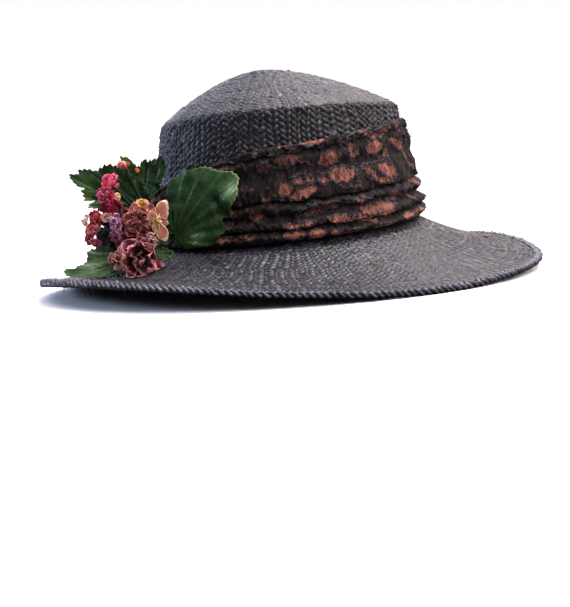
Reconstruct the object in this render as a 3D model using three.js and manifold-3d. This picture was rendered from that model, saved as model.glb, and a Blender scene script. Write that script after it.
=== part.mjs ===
// A wide-brim woven straw hat: crown, brim, plaited edge, folded lace band and
// a spray of cloth leaves and florets at the back of its right side.
// Millimetres, +Z up. +X is the hat's front, -Y its right side, and z = 0 is the
// surface that the brim rests on. The origin is under the middle of the brim.
import * as THREE from 'three';
import * as BufferGeometryUtils from 'three/addons/utils/BufferGeometryUtils.js';
import Module from 'manifold-3d';

const wasm = await Module();
wasm.setup();

// Driving dimensions
const HAT_LENGTH = 378;
const HAT_WIDTH = 340;
const BRIM_EGG = 0.05; // how much wider the brim is at its front than at its back
const STRAW = 2.0; // thickness of the woven wall
const CLEARANCE = 0.3; // between one piece and the next
const EDGE_WIDTH = 7.0; // plaited edge, across the brim
const EDGE_HEIGHT = 4.6;
const CLOTH_LEAF = 1.2;
const CLOTH_PETAL = 1.1;
const LACE = 1.6; // copper cloth and lace together
const STEM_WIDTH = 3.0;

// Ovals of the crown: half length, half width and centre. Round the head the height is
// level + rise * cos(turn) + lean * sin(turn), with turn 0 at the front and 90 degrees at the left side.
const CROWN_BASE = { halfLength: 99.5, halfWidth: 86, centre: -4, level: 41.0, rise: 4.2, lean: 4.0 };
const CROWN_EDGE = { halfLength: 88.5, halfWidth: 73.8, centre: -0.5, level: 124.2, rise: 2.0, lean: -6.6 };
const CROWN_PEAK = { x: -12, y: 0, z: 159 };
const DOME_POWER = 1.67; // 2 is a round dome, 1 is a cone
const CORNER_FRONT = 2.0; // how far the corner between side and top is rounded off
const CORNER_BACK = 3.5;

// Height of the plaited edge's underside over the table, round the hat.
const EDGE_LIFT = [
  { turn: -180, lift: 8.0 },
  { turn: -150, lift: 14.8 },
  { turn: -120, lift: 14.3 },
  { turn: -90, lift: 6.5 },
  { turn: -60, lift: 0.0 },
  { turn: -30, lift: 2.8 },
  { turn: 0, lift: 7.0 },
  { turn: 30, lift: 13.6 },
  { turn: 60, lift: 8.9 },
  { turn: 90, lift: 0.0 },
  { turn: 120, lift: -1.0 },
  { turn: 150, lift: 0.0 },
];
const BRIM_HOLLOW = 0.55; // how much steeper the brim starts than it ends

// Cross-section of the plaited edge, as shares of its width and height: flat below, round above.
const EDGE_SECTION = [
  { across: 0.0, up: 0.5 },
  { across: 0.16, up: 0.88 },
  { across: 0.5, up: 1.0 },
  { across: 0.84, up: 0.86 },
  { across: 1.0, up: 0.5 },
  { across: 0.8, up: 0.0 },
  { across: 0.2, up: 0.0 },
];

const AROUND = 60; // steps round the crown and brim
const SIDE_HEIGHTS = [0, 0.3, 0.6]; // rings of the crown's side, as shares of its height
const DOME_SHARES = [0.74, 0.58, 0.4, 0.2]; // rings of the dome, as shares of the way out from its peak
const NEAR_CORNER = 0.6; // where the crown's side and its dome start to round into each other
const BRIM_SHARES = [0, 0.07, 0.2, 0.4, 0.65, 1]; // rings of the brim, as shares of the way out
const FULL_TURN = 2 * Math.PI;

const lerp = THREE.MathUtils.lerp;
const smooth = (x) => THREE.MathUtils.smoothstep(x, 0, 1);
const turns = (count) => Array.from({ length: count }, (_, i) => (FULL_TURN * i) / count);

// Straw colours and cloth colours
const straw = new THREE.MeshStandardMaterial({ color: 0x2b2a33, roughness: 0.45, metalness: 0 });
const strawEdge = new THREE.MeshStandardMaterial({ color: 0x24242d, roughness: 0.4, metalness: 0 });
const lace = new THREE.MeshStandardMaterial({ color: 0x6a3a33, roughness: 0.6, metalness: 0 });
const leafCloth = new THREE.MeshStandardMaterial({ color: 0x2c4a24, roughness: 0.55, metalness: 0 });
const stemWrap = new THREE.MeshStandardMaterial({ color: 0x33472a, roughness: 0.7, metalness: 0 });
const petalCloth = (color) => new THREE.MeshStandardMaterial({ color, roughness: 0.75, metalness: 0 });

// Skins a stack of rings, each with the same number of points, as one closed body.
// Without poles the stack closes on itself, as a ring-shaped body does.
function skinRings(rings, poles = null) {
  const count = rings[0].length;
  const points = rings.flat();
  const faces = [];
  const last = poles ? rings.length - 1 : rings.length;
  for (let r = 0; r < last; r += 1) {
    const low = r * count;
    const high = ((r + 1) % rings.length) * count;
    for (let i = 0; i < count; i += 1) {
      const j = (i + 1) % count;
      faces.push([low + i, low + j, high + j], [low + i, high + j, high + i]);
    }
  }
  if (poles) {
    const first = points.push(poles[0]) - 1;
    const end = points.push(poles[1]) - 1;
    const top = (rings.length - 1) * count;
    for (let i = 0; i < count; i += 1) {
      const j = (i + 1) % count;
      faces.push([first, j, i], [end, top + i, top + j]);
    }
  }
  return bodyFrom(points, faces);
}

// Makes an indexed geometry whose faces point outwards.
function bodyFrom(points, faces) {
  const volume = faces.reduce((sum, [a, b, c]) => {
    const normal = new THREE.Vector3().crossVectors(points[b], points[c]);
    return sum + points[a].dot(normal);
  }, 0);
  const index = volume > 0 ? faces.flat() : faces.map(([a, b, c]) => [a, c, b]).flat();
  const geometry = new THREE.BufferGeometry();
  const flat = new Float32Array(points.flatMap((p) => [p.x, p.y, p.z]));
  geometry.setAttribute('position', new THREE.BufferAttribute(flat, 3));
  geometry.setIndex(index);
  geometry.computeVertexNormals();
  return geometry;
}

function toSolid(geometry) {
  const bare = geometry.clone();
  bare.deleteAttribute('normal');
  bare.deleteAttribute('uv');
  const merged = BufferGeometryUtils.mergeVertices(bare, 1e-4);
  return new wasm.Manifold(new wasm.Mesh({
    numProp: 3,
    vertProperties: new Float32Array(merged.attributes.position.array),
    triVerts: new Uint32Array(merged.index.array),
  }));
}

function fromSolid(solid) {
  const mesh = solid.getMesh();
  const geometry = new THREE.BufferGeometry();
  geometry.setAttribute('position', new THREE.BufferAttribute(new Float32Array(mesh.vertProperties), 3));
  geometry.setIndex([...mesh.triVerts]);
  geometry.computeVertexNormals();
  return geometry;
}

const fused = (geometries) => fromSolid(geometries.map(toSolid).reduce((all, next) => all.add(next)));

// Shape of the crown and brim

function ovalPoint(oval, turn, inset = 0) {
  return new THREE.Vector3(
    oval.centre + (oval.halfLength - inset) * Math.cos(turn),
    (oval.halfWidth - inset) * Math.sin(turn),
    oval.level + oval.rise * Math.cos(turn) + oval.lean * Math.sin(turn),
  );
}

// A point of the crown's side, from 0 at the brim to 1 at the top corner.
function crownSide(turn, height, standOff = 0) {
  return ovalPoint(CROWN_BASE, turn, -standOff).lerp(ovalPoint(CROWN_EDGE, turn, -standOff), height);
}

// A point of the domed top, from 1 at its corner to 0 at its peak.
function crownTop(turn, share, inset = 0) {
  const rim = ovalPoint(CROWN_EDGE, turn, inset);
  return new THREE.Vector3(
    lerp(CROWN_PEAK.x, rim.x, share),
    lerp(CROWN_PEAK.y, rim.y, share),
    lerp(rim.z, CROWN_PEAK.z, 1 - share ** DOME_POWER) - inset,
  );
}

const cornerSize = (turn) => lerp(CORNER_BACK, CORNER_FRONT, smooth((1 + Math.cos(turn)) / 1.2));

// Smooth periodic curve through the rows of the lift table.
function edgeUnderside(turn) {
  const count = EDGE_LIFT.length;
  const position = (((THREE.MathUtils.radToDeg(turn) + 180) / 360) * count + count) % count;
  const row = Math.floor(position);
  const along = position - row;
  const [a, b, c, d] = [-1, 0, 1, 2].map((step) => EDGE_LIFT[(row + step + count) % count].lift);
  const slopeIn = (c - a) / 2;
  const slopeOut = (d - b) / 2;
  const square = 3 * (c - b) - 2 * slopeIn - slopeOut;
  const cube = 2 * (b - c) + slopeIn + slopeOut;
  return Math.max(0, b + along * (slopeIn + along * (square + along * cube)));
}

// A point of the brim's outline in plan, set in from its outer edge.
function brimOutline(turn, inset) {
  return new THREE.Vector3(
    (HAT_LENGTH / 2 - inset) * Math.cos(turn),
    (HAT_WIDTH / 2 - inset) * Math.sin(turn) * (1 + BRIM_EGG * Math.cos(turn)),
    0,
  );
}

// A point of the brim's top, from 0 at the crown's inner face to 1 at the plaited edge.
function brimTop(turn, share) {
  const inner = ovalPoint(CROWN_BASE, turn, STRAW);
  const outer = brimOutline(turn, EDGE_WIDTH + CLEARANCE);
  outer.z = edgeUnderside(turn) + (EDGE_HEIGHT + STRAW) / 2;
  const point = inner.clone().lerp(outer, share);
  point.z -= (inner.z - outer.z) * BRIM_HOLLOW * share * (1 - share);
  return point;
}

function crownBody() {
  const ring = (makePoint) => turns(AROUND).map(makePoint);
  const lift = (point) => point.setZ(point.z + CLEARANCE);
  const fallShare = (turn) => 1 - cornerSize(turn) / (CROWN_EDGE.level - CROWN_BASE.level);
  const insetShare = (turn) => 1 - cornerSize(turn) / CROWN_EDGE.halfWidth;
  const corner = (turn) => crownSide(turn, lerp(fallShare(turn), 1, NEAR_CORNER))
    .lerp(crownTop(turn, lerp(insetShare(turn), 1, NEAR_CORNER)), 0.5);
  const outer = [
    ...DOME_SHARES.toReversed().map((share) => ring((turn) => crownTop(turn, share))),
    ring((turn) => crownTop(turn, insetShare(turn))),
    ring(corner),
    ring((turn) => crownSide(turn, fallShare(turn))),
    ...SIDE_HEIGHTS.toReversed().map((height) => ring((turn) => lift(crownSide(turn, height)))),
  ];
  const inner = [
    ...SIDE_HEIGHTS.map((height) => ring((turn) => lift(crownSide(turn, height, -STRAW)))),
    ring((turn) => crownSide(turn, fallShare(turn) - 0.01, -STRAW)),
    ring((turn) => crownTop(turn, insetShare(turn) - 0.01, STRAW)),
    ...DOME_SHARES.map((share) => ring((turn) => crownTop(turn, share, STRAW))),
  ];
  const peak = new THREE.Vector3(CROWN_PEAK.x, CROWN_PEAK.y, CROWN_PEAK.z);
  const peakInside = peak.clone().setZ(CROWN_PEAK.z - STRAW);
  return skinRings([...outer, ...inner], [peak, peakInside]);
}

function brimBody() {
  const top = BRIM_SHARES.map((share) => turns(AROUND).map((turn) => brimTop(turn, share)));
  const under = BRIM_SHARES.toReversed().map((share) => turns(AROUND).map((turn) => {
    const point = brimTop(turn, share);
    return point.setZ(point.z - STRAW);
  }));
  return skinRings([...top, ...under]);
}

// The plaited edge: an oval cord with a flat underside, all round the brim.
function edgeBody() {
  const rings = EDGE_SECTION.map(({ across, up }) => turns(AROUND).map((turn) => {
    const point = brimOutline(turn, EDGE_WIDTH * (1 - across));
    return point.setZ(edgeUnderside(turn) + EDGE_HEIGHT * up);
  }));
  return skinRings(rings);
}

// The folded band. Each row is one crest or crease of the folds: its height on the
// crown's side at the front, side and back, and how far it stands off the straw there.
const BAND_FOLDS = [
  { fold: 'bottom edge', front: 0, side: 0, back: 0, standFront: 6.6, standBack: 5.0 },
  { fold: 'bottom roll', front: 0.042, side: 0.036, back: 0.037, standFront: 9.6, standBack: 7.0 },
  { fold: 'low crease', front: 0.095, side: 0.091, back: 0.079, standFront: 6.0, standBack: 4.4 },
  { fold: 'low fold', front: 0.148, side: 0.137, back: 0.115, standFront: 8.6, standBack: 6.2 },
  { fold: 'middle crease', front: 0.2, side: 0.183, back: 0.152, standFront: 6.4, standBack: 4.4 },
  { fold: 'middle fold', front: 0.274, side: 0.239, back: 0.188, standFront: 7.6, standBack: 5.8 },
  { fold: 'main crease', front: 0.364, side: 0.304, back: 0.225, standFront: 3.8, standBack: 3.4 },
  { fold: 'belly', front: 0.474, side: 0.406, back: 0.262, standFront: 7.0, standBack: 5.4 },
  { fold: 'upper crease', front: 0.601, side: 0.507, back: 0.304, standFront: 5.2, standBack: 3.8 },
  { fold: 'upper fold', front: 0.706, side: 0.599, back: 0.346, standFront: 6.4, standBack: 5.2 },
  { fold: 'top crease', front: 0.801, side: 0.66, back: 0.382, standFront: 4.2, standBack: 3.6 },
  { fold: 'top roll', front: 0.854, side: 0.695, back: 0.408, standFront: 5.6, standBack: 4.4 },
  { fold: 'top edge', front: 0.88, side: 0.71, back: 0.419, standFront: 2.6, standBack: 2.4 },
];
const BAND_AROUND = 44;
const BAND_SWAY = 0.006; // how far the folds wander up and down

// Blends a value given at the front, the side and the back of the crown.
function roundTheHead(turn, front, side, back) {
  const away = Math.acos(Math.cos(turn)) / Math.PI;
  return away < 0.5 ? lerp(front, side, smooth(away * 2)) : lerp(side, back, smooth(away * 2 - 1));
}

function bandPoint(turn, row, layer) {
  const sway = row.front > 0 ? BAND_SWAY * Math.sin(3 * turn + row.front * 20) : 0;
  const height = roundTheHead(turn, row.front, row.side, row.back) + sway;
  const stand = roundTheHead(turn, row.standFront, (row.standFront + row.standBack) / 2, row.standBack);
  return crownSide(turn, height, stand - layer);
}

function bandBody() {
  const ring = (row, layer) => turns(BAND_AROUND).map((turn) => bandPoint(turn, row, layer));
  const outer = BAND_FOLDS.map((row) => ring(row, 0));
  const inner = BAND_FOLDS.toReversed().map((row) => ring(row, LACE));
  const bottom = outer[0].concat(inner.at(-1));
  bottom.forEach((point) => point.setZ(point.z + CLEARANCE));
  return skinRings([...outer, ...inner]);
}

// Leaves and petals

// A lobed sheet in its own frame: it grows from the origin along +X and faces +Z.
function lobedSheet({ around, shares, thickness, reach, surface }) {
  const layer = (share, side) => turns(around).map((angle) => {
    const radius = reach(angle) * share;
    const x = radius * Math.cos(angle);
    const y = radius * Math.sin(angle);
    return new THREE.Vector3(x, y, surface(x, y, angle, share) + (side * thickness) / 2);
  });
  const top = shares.map((share) => layer(share, 1));
  const under = shares.toReversed().map((share) => layer(share, -1));
  const middle = surface(0, 0, 0, 0);
  const poles = [1, -1].map((side) => new THREE.Vector3(0, 0, middle + (side * thickness) / 2));
  return skinRings([...top, ...under], poles);
}

const LEAF_LOBES = 5;
const LEAF_LOBE_DEPTH = 0.05; // as a share of the leaf's reach
const LEAF_NOTCH_DEPTH = 0.35;
const LEAF_NOTCH_WIDTH = 0.3; // in radians, seen from the leaf's middle

// A rounded leaf with shallow lobes, notched where its stem joins it, at the origin.
function leafGeometry({ length, width, bend, cup, ruffle }) {
  const sheet = lobedSheet({
    around: 30,
    shares: [0.55, 1],
    thickness: CLOTH_LEAF,
    reach: (angle) => {
      const behind = Math.abs(Math.atan2(Math.sin(angle), -Math.cos(angle)));
      const oval = 1 / Math.hypot(Math.cos(angle) / (length / 2), Math.sin(angle) / (width / 2));
      const notch = 1 - LEAF_NOTCH_DEPTH * Math.exp(-((behind / LEAF_NOTCH_WIDTH) ** 2));
      const lobes = 1 - LEAF_LOBE_DEPTH * (1 - Math.cos(LEAF_LOBES * angle));
      return oval * notch * lobes;
    },
    surface: (x, y, angle, share) => {
      const droop = -bend * (x / length + 0.5) ** 2;
      const trough = cup * 4 * (y / width) ** 2;
      const wave = ruffle * share ** 2 * Math.cos(LEAF_LOBES * angle + 0.6);
      return droop + trough + wave;
    },
  });
  return sheet.translate(length / 2, 0, 0);
}

// A floret's parts, as shares of its radius.
const CALYX = { radius: 0.22, height: 0.3 };
const BUTTON = { radius: 0.2, height: 0.36 };
const OUTER_WHORL = { radius: 1, height: 0.24 };
const INNER_WHORL = { radius: 0.6, height: 0.36 };
const PETAL_GAP = 0.66; // how far out the clefts between the petals reach
const PETAL_BLUNTNESS = 0.7;

// A floret: two whorls of petals on a small pointed calyx, with a button in the middle.
function floretGeometry({ radius, petals, cup, ruffle }) {
  const whorl = (size, corners, shares, twist) => lobedSheet({
    around: petals * corners,
    shares,
    thickness: CLOTH_PETAL,
    reach: (angle) => {
      const middle = Math.abs(Math.cos((petals * (angle - twist)) / 2)) ** PETAL_BLUNTNESS;
      return radius * size.radius * lerp(PETAL_GAP, 1, middle);
    },
    surface: (x, y, angle, share) => {
      const away = Math.hypot(x, y) / radius;
      const wave = ruffle * share * Math.cos(2 * petals * (angle - twist));
      return radius * size.height + cup * away ** 2 + wave;
    },
  });
  const calyx = new THREE.ConeGeometry(radius * CALYX.radius, radius * CALYX.height, 6);
  calyx.rotateX(-Math.PI / 2).translate(0, 0, (radius * CALYX.height) / 2);
  const button = new THREE.SphereGeometry(radius * BUTTON.radius, 6, 3);
  button.translate(0, 0, radius * BUTTON.height);
  const outer = whorl(OUTER_WHORL, 4, [0.55, 1], 0);
  const inner = whorl(INNER_WHORL, 2, [1], Math.PI / petals);
  return fused([calyx, outer, inner, button]);
}

// Where each leaf's stem joins it, where its tip points and which way it faces.
const LEAVES = [
  { name: 'leaf_on_crown', at: [-81, -87, 47], tip: [0.75, -0.03, 0.65], face: [-0.25, -0.95, 0.15],
    length: 60, width: 56, bend: -4, cup: -3, ruffle: 2.0 },
  { name: 'leaf_back_left', at: [-104, -55, 64], tip: [-0.87, 0.02, 0.46], face: [0.1, -0.97, 0.2],
    length: 57, width: 42, bend: 3, cup: 3, ruffle: 1.8 },
  { name: 'leaf_back_up', at: [-103, -53, 65], tip: [0.02, 0.22, 0.97], face: [-0.3, -0.93, 0.22],
    length: 37, width: 44, bend: 3, cup: 3, ruffle: 1.6 },
  { name: 'leaf_on_brim', at: [-104, -73, 33], tip: [-0.97, 0.1, -0.16], face: [-0.12, -0.5, 0.86],
    length: 50, width: 30, bend: 1, cup: 2, ruffle: 1.0 },
  { name: 'leaf_under_floret', at: [-95, -88, 35.5], tip: [0.8, -0.5, 0.35], face: [0.1, -0.75, 0.65],
    length: 20, width: 16, bend: 2, cup: 2, ruffle: 0.8 },
];

// Where each floret's calyx sits and which way the floret opens.
const FLORETS = [
  { name: 'floret_red_upper', at: [-126, -60, 74], face: [-0.15, -0.85, 0.45], radius: 14,
    petals: 5, cup: 8, ruffle: 0.8, color: 0xc83244 },
  { name: 'floret_red_lower', at: [-134, -62, 50], face: [-0.7, -0.75, 0.05], radius: 13,
    petals: 5, cup: 7, ruffle: 0.8, color: 0xb83040 },
  { name: 'floret_bud', at: [-114, -60, 94], face: [0, -0.35, 0.9], radius: 6,
    petals: 5, cup: 6, ruffle: 0.3, color: 0xe08a80 },
  { name: 'floret_mauve_low', at: [-106, -85, 38.5], face: [0.05, -0.97, 0.12], radius: 17,
    petals: 6, cup: 10, ruffle: 1.2, color: 0xa86266 },
  { name: 'floret_mauve_upper', at: [-106, -75, 62.5], face: [0, -0.92, 0.3], radius: 13.5,
    petals: 5, cup: 8, ruffle: 1.0, color: 0xb06a62 },
  { name: 'floret_purple', at: [-120.5, -77, 49], face: [-0.25, -0.95, 0], radius: 9,
    petals: 5, cup: 5, ruffle: 0.8, color: 0x9a5570 },
  { name: 'floret_peach', at: [-93, -90, 58], face: [0.6, -0.75, 0.15], radius: 13,
    petals: 5, cup: 3, ruffle: 0.6, color: 0xdc9a6c },
];

// The wrapped stems, hidden behind the florets: one from the band to each leaf and floret.
const STEM_ROOT = [-95, -66, 50];
const STEM_GAP = 0.8;

function stemsGeometry() {
  const root = new THREE.Vector3(...STEM_ROOT);
  const section = new THREE.Shape(turns(6).map((turn) => new THREE.Vector2(
    (STEM_WIDTH / 2) * Math.cos(turn),
    (STEM_WIDTH / 2) * Math.sin(turn),
  )));
  const stems = [...LEAVES, ...FLORETS].map(({ at }) => {
    const end = new THREE.Vector3(...at);
    end.addScaledVector(end.clone().sub(root).normalize(), -STEM_GAP);
    const path = new THREE.LineCurve3(root, end);
    return new THREE.ExtrudeGeometry(section, { extrudePath: path, steps: 1 });
  });
  const knot = new THREE.SphereGeometry(STEM_WIDTH, 8, 5).translate(...STEM_ROOT);
  return fused([knot, ...stems]);
}

function placed(name, geometry, material, { at, face, tip }) {
  const mesh = new THREE.Mesh(geometry, material);
  const out = new THREE.Vector3(...face).normalize();
  const along = new THREE.Vector3(...(tip ?? [0.1, 0.2, 1]));
  along.addScaledVector(out, -along.dot(out)).normalize();
  const sideways = new THREE.Vector3().crossVectors(out, along);
  mesh.quaternion.setFromRotationMatrix(new THREE.Matrix4().makeBasis(along, sideways, out));
  mesh.position.set(...at);
  mesh.name = name;
  return mesh;
}

const plain = (name, geometry, material) => {
  const mesh = new THREE.Mesh(geometry, material);
  mesh.name = name;
  return mesh;
};

const hat = new THREE.Group();
hat.add(
  plain('crown', crownBody(), straw),
  plain('brim', brimBody(), straw),
  plain('edge_plait', edgeBody(), strawEdge),
  plain('lace_band', bandBody(), lace),
);

const spray = new THREE.Group();
LEAVES.forEach((leaf) => spray.add(placed(leaf.name, leafGeometry(leaf), leafCloth, leaf)));
FLORETS.forEach((floret) => {
  spray.add(placed(floret.name, floretGeometry(floret), petalCloth(floret.color), floret));
});
spray.add(plain('spray_stems', stemsGeometry(), stemWrap));
hat.add(spray);

export default hat;
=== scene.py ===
# %% [markdown]
# # A wide-brim straw hat
# The hat is woven from dyed straw, with a plaited edge, a folded band of copper
# satin under black corded lace, and a spray of cloth leaves and florets. Every
# solid of the CAD model is replaced here by the finer thing that it stands for.
# This first cell loads that model.

# %% Load the frame
import math
import bmesh
import bpy
import numpy as np
from mathutils import Matrix, Vector


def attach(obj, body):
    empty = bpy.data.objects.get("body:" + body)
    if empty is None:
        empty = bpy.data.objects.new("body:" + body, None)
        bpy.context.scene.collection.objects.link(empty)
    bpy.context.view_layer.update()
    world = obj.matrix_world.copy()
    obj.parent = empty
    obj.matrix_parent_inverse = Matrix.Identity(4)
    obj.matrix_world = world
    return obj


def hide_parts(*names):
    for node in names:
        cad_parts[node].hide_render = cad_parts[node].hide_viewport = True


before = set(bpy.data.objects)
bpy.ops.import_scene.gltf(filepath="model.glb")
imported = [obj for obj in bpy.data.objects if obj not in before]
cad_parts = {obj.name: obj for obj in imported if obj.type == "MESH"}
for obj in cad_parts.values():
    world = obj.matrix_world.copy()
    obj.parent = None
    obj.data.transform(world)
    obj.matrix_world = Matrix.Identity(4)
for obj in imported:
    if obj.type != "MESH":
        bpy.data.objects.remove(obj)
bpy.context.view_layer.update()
MM = 0.001
FULL_TURN = 2 * math.pi

# %% [markdown]
# ## Camera
# The camera stands a little over the brim, on the hat's right side. It looks down
# by seven degrees and leans by four. A leaning camera is hard to aim with a
# target, so it is turned by three angles instead.

# %% Camera
CAMERA_PLACE = (0, -1.252, 0.1414)
CAMERA_TURN = (82.73, 4.06, -0.23)  # in degrees: up from looking straight down, its lean, its heading
CAMERA_LENS = 98.25  # in mm, on a 36 mm sensor

eye = bpy.data.objects.new("camera", bpy.data.cameras.new("camera"))
bpy.context.scene.collection.objects.link(eye)
eye.data.lens = CAMERA_LENS
eye.data.sensor_width = 36
eye.data.clip_end = 100
eye.location = CAMERA_PLACE
eye.rotation_euler = [math.radians(angle) for angle in CAMERA_TURN]
bpy.context.scene.camera = eye
print("camera at", CAMERA_PLACE, "m, turned by", CAMERA_TURN, "degrees")

# %% [markdown]
# ## Small helpers
# Each operator acts on what is selected, so a piece is made active on its own
# first. A colour is written as it looks on a screen and turned to the linear
# values that the renderer adds up. One function adds a node and its links.

# %% Helpers
def activate(piece):
    """Selects one piece alone and makes it the active one."""
    bpy.ops.object.select_all(action="DESELECT")
    piece.select_set(True)
    bpy.context.view_layer.objects.active = piece


def edit(piece):
    """Goes to edit mode with the whole of one piece selected."""
    activate(piece)
    bpy.ops.object.mode_set(mode="EDIT")
    bpy.ops.mesh.select_all(action="SELECT")


def leave_edit():
    bpy.ops.object.mode_set(mode="OBJECT")


def select_points(piece, test):
    """Goes to edit mode with only the points selected whose place passes the test."""
    edit(piece)
    bpy.ops.mesh.select_all(action="DESELECT")
    shape = bmesh.from_edit_mesh(piece.data)
    for point in shape.verts:
        point.select = bool(test(point.co))
    shape.select_flush(True)


def apply_modifiers(piece):
    activate(piece)
    for modifier in list(piece.modifiers):
        bpy.ops.object.modifier_apply(modifier=modifier.name)


def join(pieces, name):
    """Makes one object of several and gives it its name."""
    activate(pieces[0])
    for piece in pieces[1:]:
        piece.select_set(True)
    if len(pieces) > 1:
        bpy.ops.object.join()
    pieces[0].name = name
    pieces[0].data.name = name
    return pieces[0]


def copy_of(piece, name):
    """A copy with a mesh of its own."""
    twin = piece.copy()
    twin.data = piece.data.copy()
    twin.name = name
    bpy.context.scene.collection.objects.link(twin)
    return twin


def get_points(piece):
    """The points of a mesh as rows of three values, in metres."""
    flat = np.empty(len(piece.data.vertices) * 3)
    piece.data.vertices.foreach_get("co", flat)
    return flat.reshape(-1, 3)


def set_points(piece, points):
    """Moves the points of a mesh to new places, given in metres."""
    piece.data.vertices.foreach_set("co", np.ascontiguousarray(points, dtype=float).ravel())
    piece.data.update()


def mark_points(piece, label, values):
    """Gives each point of a mesh a value that its material can read."""
    shown = piece.data.attributes.new(label, "FLOAT", "POINT")
    shown.data.foreach_set("value", np.asarray(values).astype(np.float32))


def mark_faces(piece, label, values):
    """Gives each face of a mesh a value that its material can read."""
    shown = piece.data.attributes.new(label, "FLOAT", "FACE")
    shown.data.foreach_set("value", values)


def lay_flat(piece, x, y):
    """Writes the place of each point on the flat cloth as the piece's UV map."""
    corner = np.empty(len(piece.data.loops), dtype=np.int32)
    piece.data.loops.foreach_get("vertex_index", corner)
    cloth_run = np.stack([x, y], axis=1)[corner]
    piece.data.uv_layers[0].data.foreach_set("uv", cloth_run.astype(np.float32).ravel())


def close_up(piece, gap):
    """Merges the points that meet, turns the faces outwards and shades them smoothly."""
    edit(piece)
    bpy.ops.mesh.remove_doubles(threshold=gap * MM)
    bpy.ops.mesh.normals_make_consistent(inside=False)
    bpy.ops.mesh.faces_shade_smooth()
    leave_edit()


def flip(piece):
    """Turns all faces of a piece the other way."""
    edit(piece)
    bpy.ops.mesh.flip_normals()
    leave_edit()


def new_grid(columns, rows):
    """A flat grid that goes from -1 to 1 both ways."""
    bpy.ops.object.select_all(action="DESELECT")
    bpy.ops.mesh.primitive_grid_add(x_subdivisions=columns, y_subdivisions=rows, size=2)
    return bpy.context.object


def thicken(piece, cloth):
    """Gives a sheet its thickness in mm, half of it to each side."""
    wall = piece.modifiers.new("cloth", "SOLIDIFY")
    wall.thickness = cloth * MM
    wall.offset = 0
    apply_modifiers(piece)


def linear(hex_colour):
    """The linear values of a colour that is written as on a screen."""
    channels = [int(hex_colour[i:i + 2], 16) / 255 for i in (1, 3, 5)]
    return (*[c / 12.92 if c <= 0.04045 else ((c + 0.055) / 1.055) ** 2.4 for c in channels], 1)


def add_node(tree, kind, inputs=None, **settings):
    """Adds a node. Each input gets a plain value or the output of another node."""
    made = tree.nodes.new("ShaderNode" + kind)
    for name, value in settings.items():
        setattr(made, name, value)
    for key, value in (inputs or {}).items():
        if isinstance(value, bpy.types.NodeSocket):
            tree.links.new(value, made.inputs[key])
        else:
            made.inputs[key].default_value = value
    return made


def new_material(name):
    material = bpy.data.materials.new(name)
    material.use_nodes = True
    material.node_tree.nodes.clear()
    return material


def finish_material(material, shader):
    tree = material.node_tree
    add_node(tree, "OutputMaterial", {"Surface": shader.outputs[0]})
    print("material", material.name, len(tree.nodes), "nodes")
    return material


def hand_over(piece, slot, *nodes):
    """Puts a piece on its body and hides the CAD nodes that it stands for. The slot is not used."""
    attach(piece, "root")
    if nodes:
        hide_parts(*nodes)
    print(piece.name, sum(len(p.vertices) - 2 for p in piece.data.polygons), "triangles")


def paint(pieces, material):
    """Gives each piece one more material."""
    for piece in pieces:
        piece.data.materials.append(material)


def dress(piece, material, slot, *nodes):
    """Gives a piece its only material and hands it over."""
    piece.data.materials.clear()
    piece.data.materials.append(material)
    hand_over(piece, slot, *nodes)


# %% [markdown]
# ## Floor
# The hat stands on a plain, nearly white floor. To the camera the floor is as pale
# as the paper behind it. To the straw it is grey, so that it doesn't light up the
# hat from below.

# %% Floor
bpy.ops.mesh.primitive_plane_add(size=30, location=(0, 0, 0))
floor = bpy.context.object
floor.name = "floor"
pale = new_material("pale_paper_floor")
tree = pale.node_tree
place = add_node(tree, "TexCoord").outputs["Object"]
mottle = add_node(tree, "TexNoise", {"Vector": place, "Scale": 3.0, "Detail": 3.0}).outputs["Fac"]
tint = add_node(tree, "Mix", {0: mottle, 6: linear("#f7f7f7"), 7: linear("#fbfbfb")}, data_type="RGBA")
seen = add_node(tree, "LightPath").outputs["Is Camera Ray"]
shade = add_node(tree, "Mix", {0: seen, 6: linear("#6e6e70"), 7: tint.outputs[2]}, data_type="RGBA")
paper = add_node(tree, "BsdfPrincipled", {
    "Base Color": shade.outputs[2], "Roughness": 0.9, "Specular IOR Level": 0.1,
})
finish_material(pale, paper)
floor.data.materials.append(pale)
bpy.context.scene.view_settings.view_transform = "Standard"

# %% [markdown]
# ## Sky
# Dark straw shows its weave by what it reflects, so most of the light is broad and
# soft. It comes from above and behind, where it skims over the brim and the top of
# the crown. The camera's own side is dimmer, which keeps the crown's side nearly
# black. Towards the left the light turns cool, as it does next to a window.

# %% Sky
WINDOW_WAY = (0.6, 0.6, 0.53)  # the brightest part of the room, behind the hat and to its front
BRIGHT, DIM = 2.8, 0.11

world = bpy.data.worlds.new("soft_studio")
bpy.context.scene.world = world
world.use_nodes = True
sky = world.node_tree
sky.nodes.clear()
way = add_node(sky, "TexCoord").outputs["Generated"]
facing = add_node(sky, "VectorMath", {0: way, 1: WINDOW_WAY}, operation="DOT_PRODUCT").outputs["Value"]
glow = add_node(sky, "MapRange", {
    0: facing, 1: -0.45, 2: 0.75, 3: DIM, 4: BRIGHT,
}, interpolation_type="SMOOTHSTEP")
seen = add_node(sky, "LightPath").outputs["Is Camera Ray"]
strength = add_node(sky, "Mix", {0: seen, 2: glow.outputs[0], 3: 1.0})
sideways = add_node(sky, "SeparateXYZ", {0: way}).outputs["X"]
cool = add_node(sky, "MapRange", {0: sideways, 1: 0.2, 2: -0.7, 3: 0.0, 4: 1.0}).outputs[0]
cool = add_node(sky, "Mix", {0: cool, 6: linear("#fff2f6"), 7: linear("#dde4ff")}, data_type="RGBA")
cast = add_node(sky, "Mix", {0: seen, 6: cool.outputs[2], 7: (1, 1, 1, 1)}, data_type="RGBA")
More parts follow.
